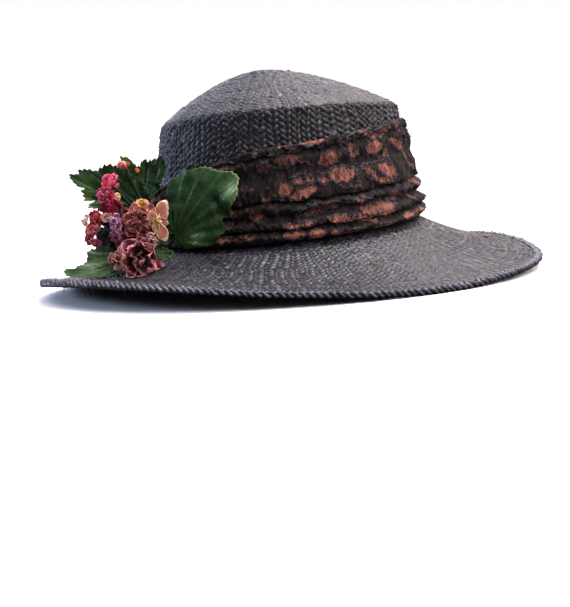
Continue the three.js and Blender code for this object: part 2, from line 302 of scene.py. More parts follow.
shine = add_node(sky, "Background", {"Color": cast.outputs[2], "Strength": strength.outputs[0]})
add_node(sky, "OutputWorld", {"Surface": shine.outputs[0]})
print("sky from", DIM, "to", BRIGHT)

# %% [markdown]
# ## Lamps
# A large soft lamp overhead gives the straw its sheen, and a smaller one at the
# front gives small glints on the floats. A cool lamp behind the left side lights
# the edge of the crown and the end of the brim there.

# %% Lamps
# each lamp: its place and the point that it aims at in metres, its width, its power in watts, its colour
LAMPS = {
    "softbox_overhead": ((0.5, 0.1, 1.7), (0, 0, 0.1), 0.7, 20, "#ffffff"),
    "lamp_front": ((0.9, -1.3, 1.2), (0, 0, 0.1), 0.16, 8, "#ffffff"),
    "lamp_left": ((-1.6, 0.2, 0.5), (0, 0, 0.08), 0.4, 14, "#cadcff"),
}

for name, (place, target, size, power, colour) in LAMPS.items():
    lamp = bpy.data.objects.new(name, bpy.data.lights.new(name, "AREA"))
    bpy.context.scene.collection.objects.link(lamp)
    lamp.data.shape = "DISK"
    lamp.data.size = size
    lamp.data.energy = power
    lamp.data.color = linear(colour)[:3]
    lamp.location = place
    lamp.rotation_euler = (Vector(target) - Vector(place)).to_track_quat("-Z", "Y").to_euler()
print(len(LAMPS), "lamps over a plain floor")

# %% [markdown]
# ## The hat's shape
# The same few ovals that shape the CAD model shape the straw here, so the woven
# sheets lie where its solids are. A surface is kept as a table of points: one
# row for each step round the head and one column for each step along it, evenly
# spaced by length, so that the weave keeps its pitch wherever the surface bends.

# %% Ovals and curves
STRAW = 2.0  # thickness of the woven wall, in mm like all values of this section
CROWN_BASE = {"long": 99.5, "wide": 86, "centre": -4, "level": 41.0, "rise": 4.2, "lean": 4.0}
CROWN_EDGE = {"long": 88.5, "wide": 73.8, "centre": -0.5, "level": 124.2, "rise": 2.0, "lean": -6.6}
CROWN_TALL = CROWN_EDGE["level"] - CROWN_BASE["level"]
CROWN_PEAK = np.array((-12, 0, 159))
DOME_POWER = 1.67  # 1 would make the dome a cone, and more makes it rounder
CORNER_FRONT, CORNER_BACK = 2.0, 3.5  # reach of the rounded corner between side and top
AROUND, UP = 360, 40
TURNS = np.linspace(0, FULL_TURN, AROUND, endpoint=False)[:, None]


def smooth(x):
    """Goes from 0 to 1 with a soft start and stop, as x does."""
    x = np.clip(x, 0, 1)
    return x * x * (3 - 2 * x)


def blend(a, b, share):
    """Goes from a to b as the share goes from 0 to 1."""
    return a + (b - a) * share


def points_of(x, y, z):
    """Points from their three values, each a number or a grid."""
    return np.stack(np.broadcast_arrays(x, y, z), axis=-1)


def oval_point(oval, turn, inset=0):
    """Points of an oval that may lean, or of one inside it."""
    return points_of(
        oval["centre"] + (oval["long"] - inset) * np.cos(turn),
        (oval["wide"] - inset) * np.sin(turn),
        oval["level"] + oval["rise"] * np.cos(turn) + oval["lean"] * np.sin(turn),
    )


print("crown", CROWN_TALL, "mm tall up to its edge")


# %% Shape of the crown
def crown_side(turn, height, stand_off=0):
    """Points of the crown's side. Height goes from 0 at the brim to 1 at the crown's edge."""
    low, high = (oval_point(oval, turn, -stand_off) for oval in (CROWN_BASE, CROWN_EDGE))
    return blend(low, high, np.asarray(height)[..., None])


def crown_top(turn, share, inset=0):
    """Points of the dome. Share goes from 0 at the peak to 1 at the crown's edge."""
    rim = oval_point(CROWN_EDGE, turn, inset)
    return points_of(
        blend(CROWN_PEAK[0], rim[..., 0], share),
        blend(CROWN_PEAK[1], rim[..., 1], share),
        blend(rim[..., 2], CROWN_PEAK[2], 1 - share ** DOME_POWER) - inset,
    )


def corner_size(turn):
    """How far the rounded corner reaches, wider at the back than at the front."""
    return blend(CORNER_BACK, CORNER_FRONT, smooth((1 + np.cos(turn)) / 1.2))


def corner_point(turn, along, inset):
    """Rounds the corner between side and top, from 0 on the side to 1 on the top."""
    size = corner_size(turn)
    start = crown_side(turn, 1 - size / CROWN_TALL, -inset)
    middle = crown_side(turn, np.ones_like(size), -inset)
    end = crown_top(turn, 1 - size / CROWN_EDGE["wide"], inset)
    along = np.asarray(along)[..., None]
    return start * (1 - along) ** 2 + middle * 2 * along * (1 - along) + end * along ** 2


def even_spacing(rows, count=160):
    """Spaces each row of points evenly by length."""
    steps = np.linalg.norm(np.diff(rows, axis=1), axis=2)
    lengths = np.concatenate([np.zeros((len(rows), 1)), np.cumsum(steps, axis=1)], axis=1)
    table = np.empty((len(rows), count, 3))
    for i, (row, length) in enumerate(zip(rows, lengths)):
        wanted = np.linspace(0, length[-1], count)
        for axis in range(3):
            table[i, :, axis] = np.interp(wanted, length, row[:, axis])
    return table


def crown_tables(inset, foot=0.0):
    """Tables of the side and the top. The foot is how far the side goes on below the crown's base."""
    size = corner_size(TURNS)
    up = np.linspace(0, 1, UP)[None, :]
    side = crown_side(TURNS, blend(-foot / CROWN_TALL, 1 - size / CROWN_TALL, up), -inset)
    low_corner = corner_point(TURNS, up[:, 1:] * 0.5, inset)
    high_corner = corner_point(TURNS, 0.5 + up * 0.5, inset)
    top = crown_top(TURNS, (1 - size / CROWN_EDGE["wide"]) * (1 - up[:, 1:]), inset)
    return (even_spacing(np.concatenate([side, low_corner], axis=1)),
            even_spacing(np.concatenate([high_corner, top], axis=1)))


crown_outer_side, crown_outer_top = crown_tables(0)
crown_inner_side, crown_inner_top = crown_tables(STRAW, foot=STRAW)
print("crown's highest point", round(crown_outer_top[..., 2].max(), 1), "mm")

# %% Shape of the brim
HAT_LENGTH, HAT_WIDTH = 378, 340
BRIM_EGG = 0.05  # how much wider the brim is at its front than an oval, as a share
EDGE_WIDTH, EDGE_HEIGHT = 7.0, 4.6
BRIM_HOLLOW = 0.55  # how far the brim sags between crown and edge, as a share of its drop
HEM = 9.0  # the brim's straws are turned back under it this far in, which makes it thicker there
HEM_STEP, HEM_SLOPE = 0.5, 0.8
# height of the plaited edge over the floor, every so many degrees from the back
EDGE_EVERY = 30
EDGE_LIFT = np.array([8.0, 14.8, 14.3, 6.5, 0.0, 2.8, 7.0, 13.6, 8.9, 0.0, -1.0, 0.0])


def edge_underside(turn):
    """Height of the edge's underside: a smooth curve through the heights of its table."""
    place = ((np.degrees(turn) + 180) / EDGE_EVERY) % len(EDGE_LIFT)
    row = np.floor(place).astype(int)
    along = place - row
    a, b, c, d = (EDGE_LIFT[(row + step) % len(EDGE_LIFT)] for step in (-1, 0, 1, 2))
    slope_in, slope_out = (c - a) / 2, (d - b) / 2
    square = 3 * (c - b) - 2 * slope_in - slope_out
    cube = 2 * (b - c) + slope_in + slope_out
    return np.maximum(0, b + along * (slope_in + along * (square + along * cube)))


def brim_outline(turn, inset, z=0.0):
    """Points of the brim's egg-shaped outline, or of one further in."""
    return points_of(
        (HAT_LENGTH / 2 - inset) * np.cos(turn),
        (HAT_WIDTH / 2 - inset) * np.sin(turn) * (1 + BRIM_EGG * np.cos(turn)),
        z,
    )


def brim_top(turn, share):
    """Points of the brim's upper side, from 0 at the crown to 1 at the plaited edge."""
    inner = oval_point(CROWN_BASE, turn, STRAW)
    outer = brim_outline(turn, EDGE_WIDTH, edge_underside(turn) + (EDGE_HEIGHT + STRAW) / 2)
    point = blend(inner, outer, np.asarray(share)[..., None])
    point[..., 2] -= (inner - outer)[..., 2] * BRIM_HOLLOW * share * (1 - share)
    return point


out = np.linspace(0, 1.0, 200)[None, :]
brim_upper = even_spacing(brim_top(TURNS, out))
brim_reach = np.linalg.norm(brim_upper[:, -1] - brim_upper[:, 0], axis=1)[:, None]
from_edge = (1 - np.linspace(0, 1, brim_upper.shape[1])[None, :]) * brim_reach
brim_upper[..., 2] += HEM_STEP * smooth(0.5 + (HEM - from_edge) / HEM_SLOPE)
brim_lower = brim_upper - (0, 0, STRAW)
print("brim", np.ptp(brim_upper[..., 0]).round(1), "by", np.ptp(brim_upper[..., 1]).round(1), "mm")

# %% [markdown]
# ## Weave
# The straw is woven two over, two under, with its strips at 45 degrees to the
# edge, so that they stand as chevrons round the head. Two crossing floats make
# one tile. The tile is modelled once, repeated by two Array modifiers as a flat
# strip, trimmed by a straight cut, and then wrapped on the hat by its table.
# Wrapping is done point by point, because no modifier follows an oval crown.

# %% One tile of the weave
TILE_WIDE, TILE_TALL = 2 * math.sqrt(2), math.sqrt(2)  # for strips 1 wide
FLOAT_INSET = 0.22  # width of a float's sloping sides
FLOAT_ENDS = 0.45  # how far a float's ends dip, as a share of its height
FACES_A_FLOAT = 8
POINTS_A_FLOAT = 12
TRIM = 2  # rows that are cut off at both edges of a strip

straw_float = new_grid(2, 1)
edit(straw_float)
bpy.ops.transform.resize(value=(1, 0.5, 1))
bpy.ops.mesh.inset(thickness=FLOAT_INSET)
bpy.ops.transform.translate(value=(0, 0, 1))
leave_edit()
select_points(straw_float, lambda place: place.z > 0.5 and abs(place.x) > 0.5)
bpy.ops.transform.translate(value=(0, 0, -FLOAT_ENDS))
leave_edit()
crossing_float = copy_of(straw_float, "crossing_float")
for piece, centre, angle in ((straw_float, (1, 0.5, 0), 45), (crossing_float, (2.5, 0, 0), 135)):
    activate(piece)
    bias = Matrix.Rotation(math.radians(45), 4, "Z") @ Matrix.Translation(centre)
    piece.matrix_world = bias @ Matrix.Rotation(math.radians(angle - 45), 4, "Z")
    bpy.ops.object.transform_apply(location=True, rotation=True, scale=True)
weave_tile = join([straw_float, crossing_float], "weave_tile")
print("weave tile", len(weave_tile.data.polygons), "faces", len(weave_tile.data.vertices), "points")


# %% Read a table of the hat's surface
def look_up(table, turn, along):
    """Reads a table of points between its rows and columns. It closes on itself round the head."""
    around, steps = table.shape[:2]
    place = (turn / FULL_TURN * around) % around
    low_row = np.floor(place).astype(int) % around
    high_row = (low_row + 1) % around
    part_row = (place - np.floor(place))[:, None]
    column = np.clip(along, 0, 1) * (steps - 1)
    low = np.minimum(np.floor(column).astype(int), steps - 2)
    part = (column - low)[:, None]
    near = table[low_row, low] * (1 - part) + table[low_row, low + 1] * part
    far = table[high_row, low] * (1 - part) + table[high_row, low + 1] * part
    return near * (1 - part_row) + far * part_row


def normals_of(table):
    """The outward way at each point of a table."""
    across = np.roll(table, -1, axis=0) - np.roll(table, 1, axis=0)
    along = np.gradient(table, axis=1)
    normal = np.cross(across, along)
    length = np.linalg.norm(normal, axis=2, keepdims=True)
    return normal / np.maximum(length, 1e-9)


def waves(turn, up, seed, count, around, along):
    """A smooth, irregular wave that closes round the head: a sum of waves of random direction."""
    draw = np.random.default_rng(seed)
    total = np.zeros(np.broadcast(turn, up).shape)
    for _ in range(count):
        times = draw.integers(int(around * 0.5), int(around * 1.5) + 1)
        rise = draw.uniform(-along, along)
        total += np.sin(times * turn + rise * up + draw.uniform(0, FULL_TURN))
    return total / math.sqrt(count / 2)


tries = waves(TURNS, 0.5, seed=1, count=14, around=8, along=1.0)
print("waves from", tries.min().round(2), "to", tries.max().round(2))

# %% Lay out a flat strip of the weave
rng = np.random.default_rng(7)
LOFT_SPREAD = 0.3  # how unevenly high the floats are, as a share of their height
LEAN_SPREAD = 0.4  # how unevenly they lean
SLIP_SPREAD = 0.07  # how far they slip sideways, in widths of a strip


def flat_weave(columns, rows):
    """A flat strip of the weave, closed round the head and trimmed straight along both edges."""
    strip = copy_of(weave_tile, "strip")
    for count, step in ((columns, (TILE_WIDE, 0, 0)), (rows + 2 * TRIM, (0, TILE_TALL, 0))):
        repeat = strip.modifiers.new("repeat", "ARRAY")
        repeat.count = count
        repeat.use_relative_offset = False
        repeat.use_constant_offset = True
        repeat.constant_offset_displace = step
    apply_modifiers(strip)
    floats = len(strip.data.polygons) // FACES_A_FLOAT
    mark_faces(strip, "straw_tone", np.repeat(rng.random(floats), FACES_A_FLOAT))
    points = get_points(strip)
    loft = 1 + rng.normal(0, LOFT_SPREAD, floats)
    lean = rng.normal(0, LEAN_SPREAD, (floats, 2))
    by_float = points.reshape(floats, POINTS_A_FLOAT, 3)
    by_float[..., :2] += rng.normal(0, SLIP_SPREAD, (floats, 1, 2)) * by_float[..., 2:]
    middle = by_float.mean(axis=1, keepdims=True)
    tilt = ((by_float - middle)[..., :2] * lean[:, None, :]).sum(axis=2)
    by_float[..., 2] *= loft[:, None] + tilt
    set_points(strip, points)
    for row, normal in ((TRIM, (0, -1, 0)), (TRIM + rows, (0, 1, 0))):
        edit(strip)
        bpy.ops.mesh.bisect(plane_co=(0, row * TILE_TALL, 0), plane_no=normal, clear_outer=True)
        leave_edit()
    return strip


# %% Wrap the strips on the hat
SIDE_LOFT, FLAT_LOFT = 0.21, 0.095  # a float's height, as a share of the pitch of the weave
# painted shade: a deeper weave gets darker painted shade in its gaps
SHALLOW = 0.1  # floats that stand higher than this share have darker gaps
WANDER = 0.22  # how far the columns stray sideways, as a share of a column's width
VALLEY = 0.6  # how far the gaps lie under the hat's own surface, as a share of a float's height
SEAM = 0.25  # height of the weave where two zones meet, between its gaps and its floats
TURN_STEP = 0.05  # the turn to either side over which the pitch is measured


def woven_sheet(name, zones, face_out=True):
    """Each zone has a table, the height of its floats, the stretch it covers, its columns and rows."""
    strips, pitches = [], []
    for table, float_loft, start, stop, columns, rows in zones:
        strip = flat_weave(columns, rows)
        points = get_points(strip)
        turn = points[:, 0] / (TILE_WIDE * columns) * FULL_TURN
        up = (points[:, 1] / TILE_TALL - TRIM) / rows
        stray = waves(turn, up, seed=columns, count=14, around=8, along=0.6 * rows)
        turn = turn + WANDER * FULL_TURN / columns * stray
        relief = np.where((up < 1e-4) | (up > 1 - 1e-4), SEAM, points[:, 2])
        along = start + (stop - start) * up
        ahead, behind = look_up(table, turn + TURN_STEP, along), look_up(table, turn - TURN_STEP, along)
        pitch = np.linalg.norm(ahead - behind, axis=1) * FULL_TURN / columns / (2 * TURN_STEP)
        pitches.append(pitch.mean().round(1))
        loft = (relief - VALLEY) * float_loft * pitch
        outward = look_up(normals_of(table), turn, along) * (1 if face_out else -1)
        set_points(strip, (look_up(table, turn, along) + outward * loft[:, None]) * MM)
        # painted shade: this value sets how dark the gaps between the floats are painted
        mark_points(strip, "painted_shade_height", relief * min(1, SHALLOW / float_loft))
        strips.append(strip)
    sheet = join(strips, name)
    edit(sheet)
    bpy.ops.mesh.remove_doubles(threshold=0.02 * MM)
    bpy.ops.mesh.faces_shade_smooth()
    leave_edit()
    if not face_out:
        flip(sheet)
    print(name, "has a mean pitch of", *pitches, "mm in its zones")
    return sheet


# %% [markdown]
# ## Crown and brim
# As the head narrows or the brim widens, straws are dropped or added at a ring,
# where a fine line shows. So each sheet is a row of zones with their own count
# of columns, and the pitch stays near 7 or 8 mm all the way up to the peak. An
# outer and an inner sheet make the wall, since the hat is seen from below as well.

# %% Weave the crown
SIDE_COLUMNS, SIDE_ROWS = 66, 22
# a zone of the dome, or of the brim below: where it starts and stops, its columns and its rows
DOME_ZONES = [
    (0.0, 0.19, 66, 4), (0.19, 0.37, 54, 4), (0.37, 0.53, 42, 4), (0.53, 0.66, 32, 4),
    (0.66, 0.78, 22, 4), (0.78, 0.9, 14, 4), (0.9, 0.997, 7, 3),
]


def crown_zones(side, top):
    low = [(side, SIDE_LOFT, 0, 1, SIDE_COLUMNS, SIDE_ROWS)]
    return low + [(top, FLAT_LOFT, *zone) for zone in DOME_ZONES]


crown_sheets = [
    woven_sheet("crown_weave_outer", crown_zones(crown_outer_side, crown_outer_top)),
    woven_sheet("crown_weave_inner", crown_zones(crown_inner_side, crown_inner_top), face_out=False),
]

# %% Weave the brim
BRIM_ZONES = [
    (0.0, 0.19, 80, 4), (0.19, 0.47, 98, 6), (0.47, 0.8, 120, 7), (0.8, 0.89, 140, 2),
    (0.89, 1.0, 146, 3),
]


def brim_zones(table):
    return [(table, FLAT_LOFT, *zone) for zone in BRIM_ZONES]


brim_sheets = [
    woven_sheet("brim_weave_top", brim_zones(brim_upper)),
    woven_sheet("brim_weave_under", brim_zones(brim_lower), face_out=False),
]
bpy.data.objects.remove(weave_tile)

# %% [markdown]
# ### Dyed straw
# Split plant straw, dyed near black with a violet cast and lightly lacquered.
# Each strip took the dye a little differently and has long fibres along it, so
# the colour changes from float to float and runs in fine streaks. The skin of
# the straw is smooth, which gives it small sharp glints over a soft sheen.

# %% Material: dyed straw
def dyed_straw(name, dark, violet, grey, roughness):
    """Straw that goes from a dark dye to a violet or a grey one, from one float to the next."""
    material = new_material(name)
    tree = material.node_tree
    tone = add_node(tree, "Attribute", attribute_name="straw_tone").outputs["Fac"]
    # fibres: streaks along each float, other ones on every float
    run = add_node(tree, "TexCoord").outputs["UV"]
    spread = add_node(tree, "Mapping", {"Vector": run, "Scale": (0.6, 7.0, 1.0)}).outputs[0]
    seed = add_node(tree, "Math", {0: tone, 1: 61.0}, operation="MULTIPLY").outputs[0]
    fibre = add_node(tree, "TexNoise", {
        "Vector": spread, "W": seed, "Scale": 2.2, "Detail": 4.0, "Roughness": 0.6,
    }, noise_dimensions="4D").outputs["Fac"]
    # dye: how much each float took, and which of the two casts it has
    shade = add_node(tree, "MapRange", {0: fibre, 1: 0.3, 2: 0.75, 3: -0.25, 4: 0.3}).outputs[0]
    taken = add_node(tree, "Math", {0: tone, 1: 0.75, 2: shade}, operation="MULTIPLY_ADD", use_clamp=True)
    lot = add_node(tree, "TexWhiteNoise", {"W": tone}, noise_dimensions="1D").outputs["Value"]
    light = add_node(tree, "Mix", {0: lot, 6: linear(violet), 7: linear(grey)}, data_type="RGBA")
    colour = add_node(tree, "Mix", {
        0: taken.outputs[0], 6: linear(dark), 7: light.outputs[2],
    }, data_type="RGBA")
    # painted shade: the gaps between the floats are painted nearly black, as hardly any light gets in
    height = add_node(tree, "Attribute", attribute_name="painted_shade_height").outputs["Fac"]
    gap = add_node(tree, "MapRange", {0: height, 1: 0.1, 2: 0.6, 3: 0.85, 4: 0.0}).outputs[0]
    colour = add_node(tree, "Mix", {0: gap, 6: colour.outputs[2], 7: linear("#040305")}, data_type="RGBA")
    # lacquer: a soft sheen, with a glossier skin on a few floats
    gloss = add_node(tree, "MapRange", {
        0: fibre, 1: 0.25, 2: 0.8, 3: roughness + 0.12, 4: roughness - 0.08,
    })
    skin = add_node(tree, "MapRange", {0: tone, 1: 0.965, 2: 0.975, 3: 0.0, 4: 0.12}).outputs[0]
    gloss = add_node(tree, "Math", {0: gloss.outputs[0], 1: skin}, operation="SUBTRACT", use_clamp=True)
    bump = add_node(tree, "Bump", {"Height": fibre, "Strength": 0.35, "Distance": 0.12 * MM})
    shader = add_node(tree, "BsdfPrincipled", {
        "Base Color": colour.outputs[2], "Roughness": gloss.outputs[0],
        "Normal": bump.outputs[0], "IOR": 1.5,
    })
    return finish_material(material, shader)


straw = dyed_straw("dyed_woven_straw", "#0b0a0d", "#493d53", "#3b433e", 0.4)
for sheet in crown_sheets:
    dress(sheet, straw, "straw", "crown")
for sheet in brim_sheets:
    dress(sheet, straw, "straw", "brim")

# %% [markdown]
# ## Plaited edge
# The rim is a plait of three flat straws, laid on edge round the brim. One full
# repeat of one straw is rolled from a grid into a flattened tube. Three of them,
# a third of a repeat apart, make the plait, and a table of the brim's outline
# carries it round. Each straw passes over one neighbour and under the other.

# %% Plait the edge
REPEATS = 74
STEPS, SIDES = 15, 8
EDGE_POINTS = 720
PLAIT_SWING, PLAIT_DIP = 2.0, 1.2
STRAW_HALF_WIDTH, STRAW_HALF_DEPTH = 1.9, 1.5
UNEVEN_STEP, UNEVEN_HEIGHT, UNEVEN_WIDTH = 0.4, 0.3, 0.12
# painted shade: the straws are painted darker where they dip under the others
SHADE_MIDDLE, SHADE_DEPTH = 0.64, 5  # the straws get darker where they dip under the others
# the stretch at the back left where the plait has worked loose: its place as a share of the way
# round, the length over which it fades out, its reach in such lengths, and how much higher it stands
LOOSE_AT, LOOSE_FADE, LOOSE_REACH, LOOSE_RISE = 0.57, 0.06, 1.7, 0.5
# where the plait has come loose and straws stick out of it: the turn in degrees, the length in
# mm, and how far the end leans along the edge and up
LOOSE_ENDS = [
    (206, 4, -0.3, -0.8), (209, 4.5, 0.5, -1.2), (216, 5, -0.5, -1.0), (219, 7, 0.4, -0.9),
    (221, 7.5, 0.9, -0.7), (224, 6.5, 1.2, -0.5), (231, 7, 0.8, -0.8), (233, 4, -0.6, -0.9),
    (246, 4, 1.0, -0.6), (198, 5, -0.4, 1.6), (268, 3.5, 0.9, -0.5), (287, 3, 0.7, -0.7),
    (150, 4, 0.6, -0.8), (96, 4, 0.9, -0.5),
]
edge_middle = brim_outline(TURNS, EDGE_WIDTH / 2, edge_underside(TURNS) + EDGE_HEIGHT / 2)
edge_middle = even_spacing(edge_middle.transpose(1, 0, 2), EDGE_POINTS)[0]


def outline_at(share):
    """Points of the plait's middle line, and the way outwards there."""
    closed = np.vstack([edge_middle, edge_middle[:1]])
    place = (share % 1) * (len(closed) - 1)
    low = np.minimum(np.floor(place).astype(int), len(closed) - 2)
    part = (place - low)[:, None]
    point = closed[low] * (1 - part) + closed[low + 1] * part
    tangent = np.roll(edge_middle, -1, axis=0) - np.roll(edge_middle, 1, axis=0)
    way = tangent[low % len(tangent)] * (1 - part) + tangent[(low + 1) % len(tangent)] * part
    way /= np.linalg.norm(way, axis=1, keepdims=True)
    outward = np.cross(way, (0, 0, 1))
    outward /= np.linalg.norm(outward, axis=1, keepdims=True)
    return point, outward


def straw_end(foot, way, length):
    """A flat straw that thins out to a point."""
    way = np.array(way, float) / np.linalg.norm(way)
    across = np.cross(way, (0, 0, 1))
    across /= np.linalg.norm(across)
    bpy.ops.object.select_all(action="DESELECT")
    bpy.ops.mesh.primitive_cone_add(vertices=6, radius1=0.6, radius2=0.15, depth=1)
    straw_tip = bpy.context.object
    flat = get_points(straw_tip)
    turned = flat[:, :1] * across + 0.5 * flat[:, 1:2] * np.cross(way, across)
    along = (flat[:, 2:] + 0.5) * length * way
    place = np.array(foot) + turned + along
    place[:, 2] = np.maximum(place[:, 2], 0.1)
    set_points(straw_tip, place * MM)
    return straw_tip


strands = []
every = np.arange(REPEATS + 1)
wobble = rng.normal(0, UNEVEN_STEP, REPEATS + 1)
wobble[-1] = wobble[0]
for strand in range(3):
    straw_strand = new_grid(STEPS, SIDES)
    repeat = straw_strand.modifiers.new("repeat", "ARRAY")
    repeat.count = REPEATS
    repeat.relative_offset_displace = (1, 0, 0)
    apply_modifiers(straw_strand)
    flat = get_points(straw_strand)
    length = (flat[:, 0] + 1) / 2
    roll = (flat[:, 1] + 1) * math.pi
    phase = FULL_TURN * (length + strand / 3) + np.interp(length, every, wobble)
    slip = rng.normal(0, UNEVEN_HEIGHT, REPEATS + 1)
    spread = rng.normal(1, UNEVEN_WIDTH, REPEATS + 1)
    across = PLAIT_SWING * np.sin(phase) + STRAW_HALF_WIDTH * np.cos(roll)
    across *= np.interp(length, every, spread)
    up = PLAIT_DIP * np.sin(2 * phase) + STRAW_HALF_DEPTH * np.sin(roll)
    up += np.interp(length, every, slip)
    loose = smooth(LOOSE_REACH - np.abs(length / REPEATS - LOOSE_AT) / LOOSE_FADE)
    up = np.where(up > 0, up * (1 + LOOSE_RISE * loose), up)
    point, outward = outline_at(length / REPEATS)
    place = point + outward * across[:, None]
    place[:, 2] += np.maximum(up, -EDGE_HEIGHT / 2)
    set_points(straw_strand, place * MM)
    mark_faces(straw_strand, "straw_tone", np.repeat(rng.random(REPEATS), STEPS * SIDES))
    # painted shade: darker where this straw dips under its neighbours
    mark_points(straw_strand, "painted_shade_height", np.clip(SHADE_MIDDLE + up / SHADE_DEPTH, 0, 1))
    strands.append(straw_strand)
print(len(strands), "straws plaited from", REPEATS, "repeats each")

# %% Add loose ends to the edge
for turn, length, along, up in LOOSE_ENDS:
    way = np.array((-math.sin(math.radians(turn)), math.cos(math.radians(turn)), 0)) * along
    way += (0.3 * math.cos(math.radians(turn)), 0.3 * math.sin(math.radians(turn)), up)
    place = np.radians([[turn]])
    foot = brim_outline(place, EDGE_WIDTH / 2, edge_underside(place) + EDGE_HEIGHT / 2).reshape(3)
    strands.append(straw_end(foot, way, length + 1.5))
edge_plait = join(strands, "edge_plait_straws")
close_up(edge_plait, 0.01)
glossy_straw = dyed_straw("dyed_glossy_straw", "#17151c", "#655f74", "#575b62", 0.26)
dress(edge_plait, glossy_straw, "straw_edge", "edge_plait")

# %% [markdown]
# ## Folded band
# The band is a strip of copper satin with black corded lace over it, gathered
# into folds that climb from the back to the front. A cloth simulation would not
# find these very folds, so they are shaped from a table: one row for each crest
# or crease, with its height on the crown and how far it stands off the straw.
# A fine grid is wrapped by that table and then crumpled by small waves.

# %% Folds of the band
# Each crest, lip or crease has its height at the front, side and back, as a share of the
# crown's side, and its stand-off at the front and back in mm. A lip is the rolled edge of a
# fold: it hangs over the crease under it, which keeps the crease black.
BAND_FOLDS = np.array([
    (0, 0, 0, 6.6, 5),  # bottom edge
    (0.042, 0.036, 0.037, 9.6, 7),  # bottom roll
    (0.108, 0.102, 0.088, 3, 2.4),  # low crease
    (0.1, 0.095, 0.085, 8.4, 5.8),  # low lip
    (0.148, 0.137, 0.115, 9.6, 6.4),  # low fold
    (0.205, 0.186, 0.154, 3.8, 2.6),  # middle crease
    (0.274, 0.239, 0.188, 8.4, 5.9),  # middle fold
    (0.356, 0.298, 0.221, 1.6, 1.5),  # main crease
    (0.352, 0.3, 0.222, 6, 4.6),  # belly's lip
    (0.474, 0.406, 0.262, 5.6, 5.6),  # belly
    (0.601, 0.507, 0.304, 3.2, 2.4),  # upper crease
    (0.706, 0.599, 0.346, 4.4, 5.2),  # upper fold
    (0.796, 0.656, 0.38, 2.4, 2.1),  # top crease
    (0.8, 0.662, 0.386, 3.8, 4),  # top lip
    (0.854, 0.695, 0.408, 4, 4.5),  # top roll
    (0.88, 0.71, 0.419, 2.4, 2.2),  # top edge
])
BAND_TOP = BAND_FOLDS[-1, :3]
BAND_SWAY = 0.006  # how far the folds rise and sink on their way round, as a share of the crown's side
BAND_GIRTH = 585.0
BAND_LEAST = 1.3  # the least stand-off, in mm
BAND_LIFT = 0.35  # how far its bottom edge is over the brim, in mm
BAND_AROUND, BAND_UP = 700, 120
# small waves of the cloth, outwards and upwards: their size in mm, how many waves, and how often
# they come round and up the band
CRUMPLED_OUT = [(0.5, 14, 14, 1.0), (0.4, 18, 46, 3.0), (0.34, 24, 110, 7.0), (0.22, 24, 240, 15.0)]
CRUMPLED_UP = [(0.5, 10, 10, 0.7), (0.35, 14, 40, 1.6)]


def round_the_head(turn, front, side, back):
    """A value that goes from the front's to the side's and on to the back's."""
    away = np.arccos(np.cos(turn)) / math.pi * 2
    return np.where(away < 1, blend(front, side, smooth(away)), blend(side, back, smooth(away - 1)))


def through_rows(values, place):
    """A smooth curve through a row of values, for each point of the grid."""
    last = values.shape[-1] - 1
    row = np.minimum(np.floor(place).astype(int), last - 1)
    along = place - row
    a, b, c, d = (np.take_along_axis(values, np.clip(row + s, 0, last), axis=1) for s in (-1, 0, 1, 2))
    slope_in, slope_out = (c - a) / 2, (d - b) / 2
    square = 3 * (c - b) - 2 * slope_in - slope_out
    return b + along * (slope_in + along * (square + along * (2 * (b - c) + slope_in + slope_out)))


turn = np.linspace(0, FULL_TURN, BAND_AROUND + 1)[:, None]
rows = np.linspace(0, len(BAND_FOLDS) - 1, BAND_UP + 1)[None, :].repeat(BAND_AROUND + 1, axis=0)
front, side, back, stand_front, stand_back = BAND_FOLDS.T[:, None, :]
sway = np.where(front > 0, BAND_SWAY * np.sin(3 * turn + front * 20), 0)
fold_height = round_the_head(turn, front, side, back) + sway
fold_stand = round_the_head(turn, stand_front, (stand_front + stand_back) / 2, stand_back)
band_height = through_rows(fold_height, rows)
band_stand = through_rows(fold_stand, rows)
inside = smooth(rows / 1.5) * smooth((len(BAND_FOLDS) - 1 - rows) / 1.5)
for size, count, around, along in CRUMPLED_OUT:
    band_stand += inside * size * waves(
        turn, rows, seed=count + around, count=count, around=around, along=along,
    )
for size, count, around, along in CRUMPLED_UP:
    band_height += inside * size / CROWN_TALL * waves(
        turn, rows, seed=count + around, count=count, around=around, along=along,
    )
band_stand = np.maximum(band_stand, BAND_LEAST)
print("band stands", band_stand.min().round(1), "to", band_stand.max().round(1), "mm off the straw")
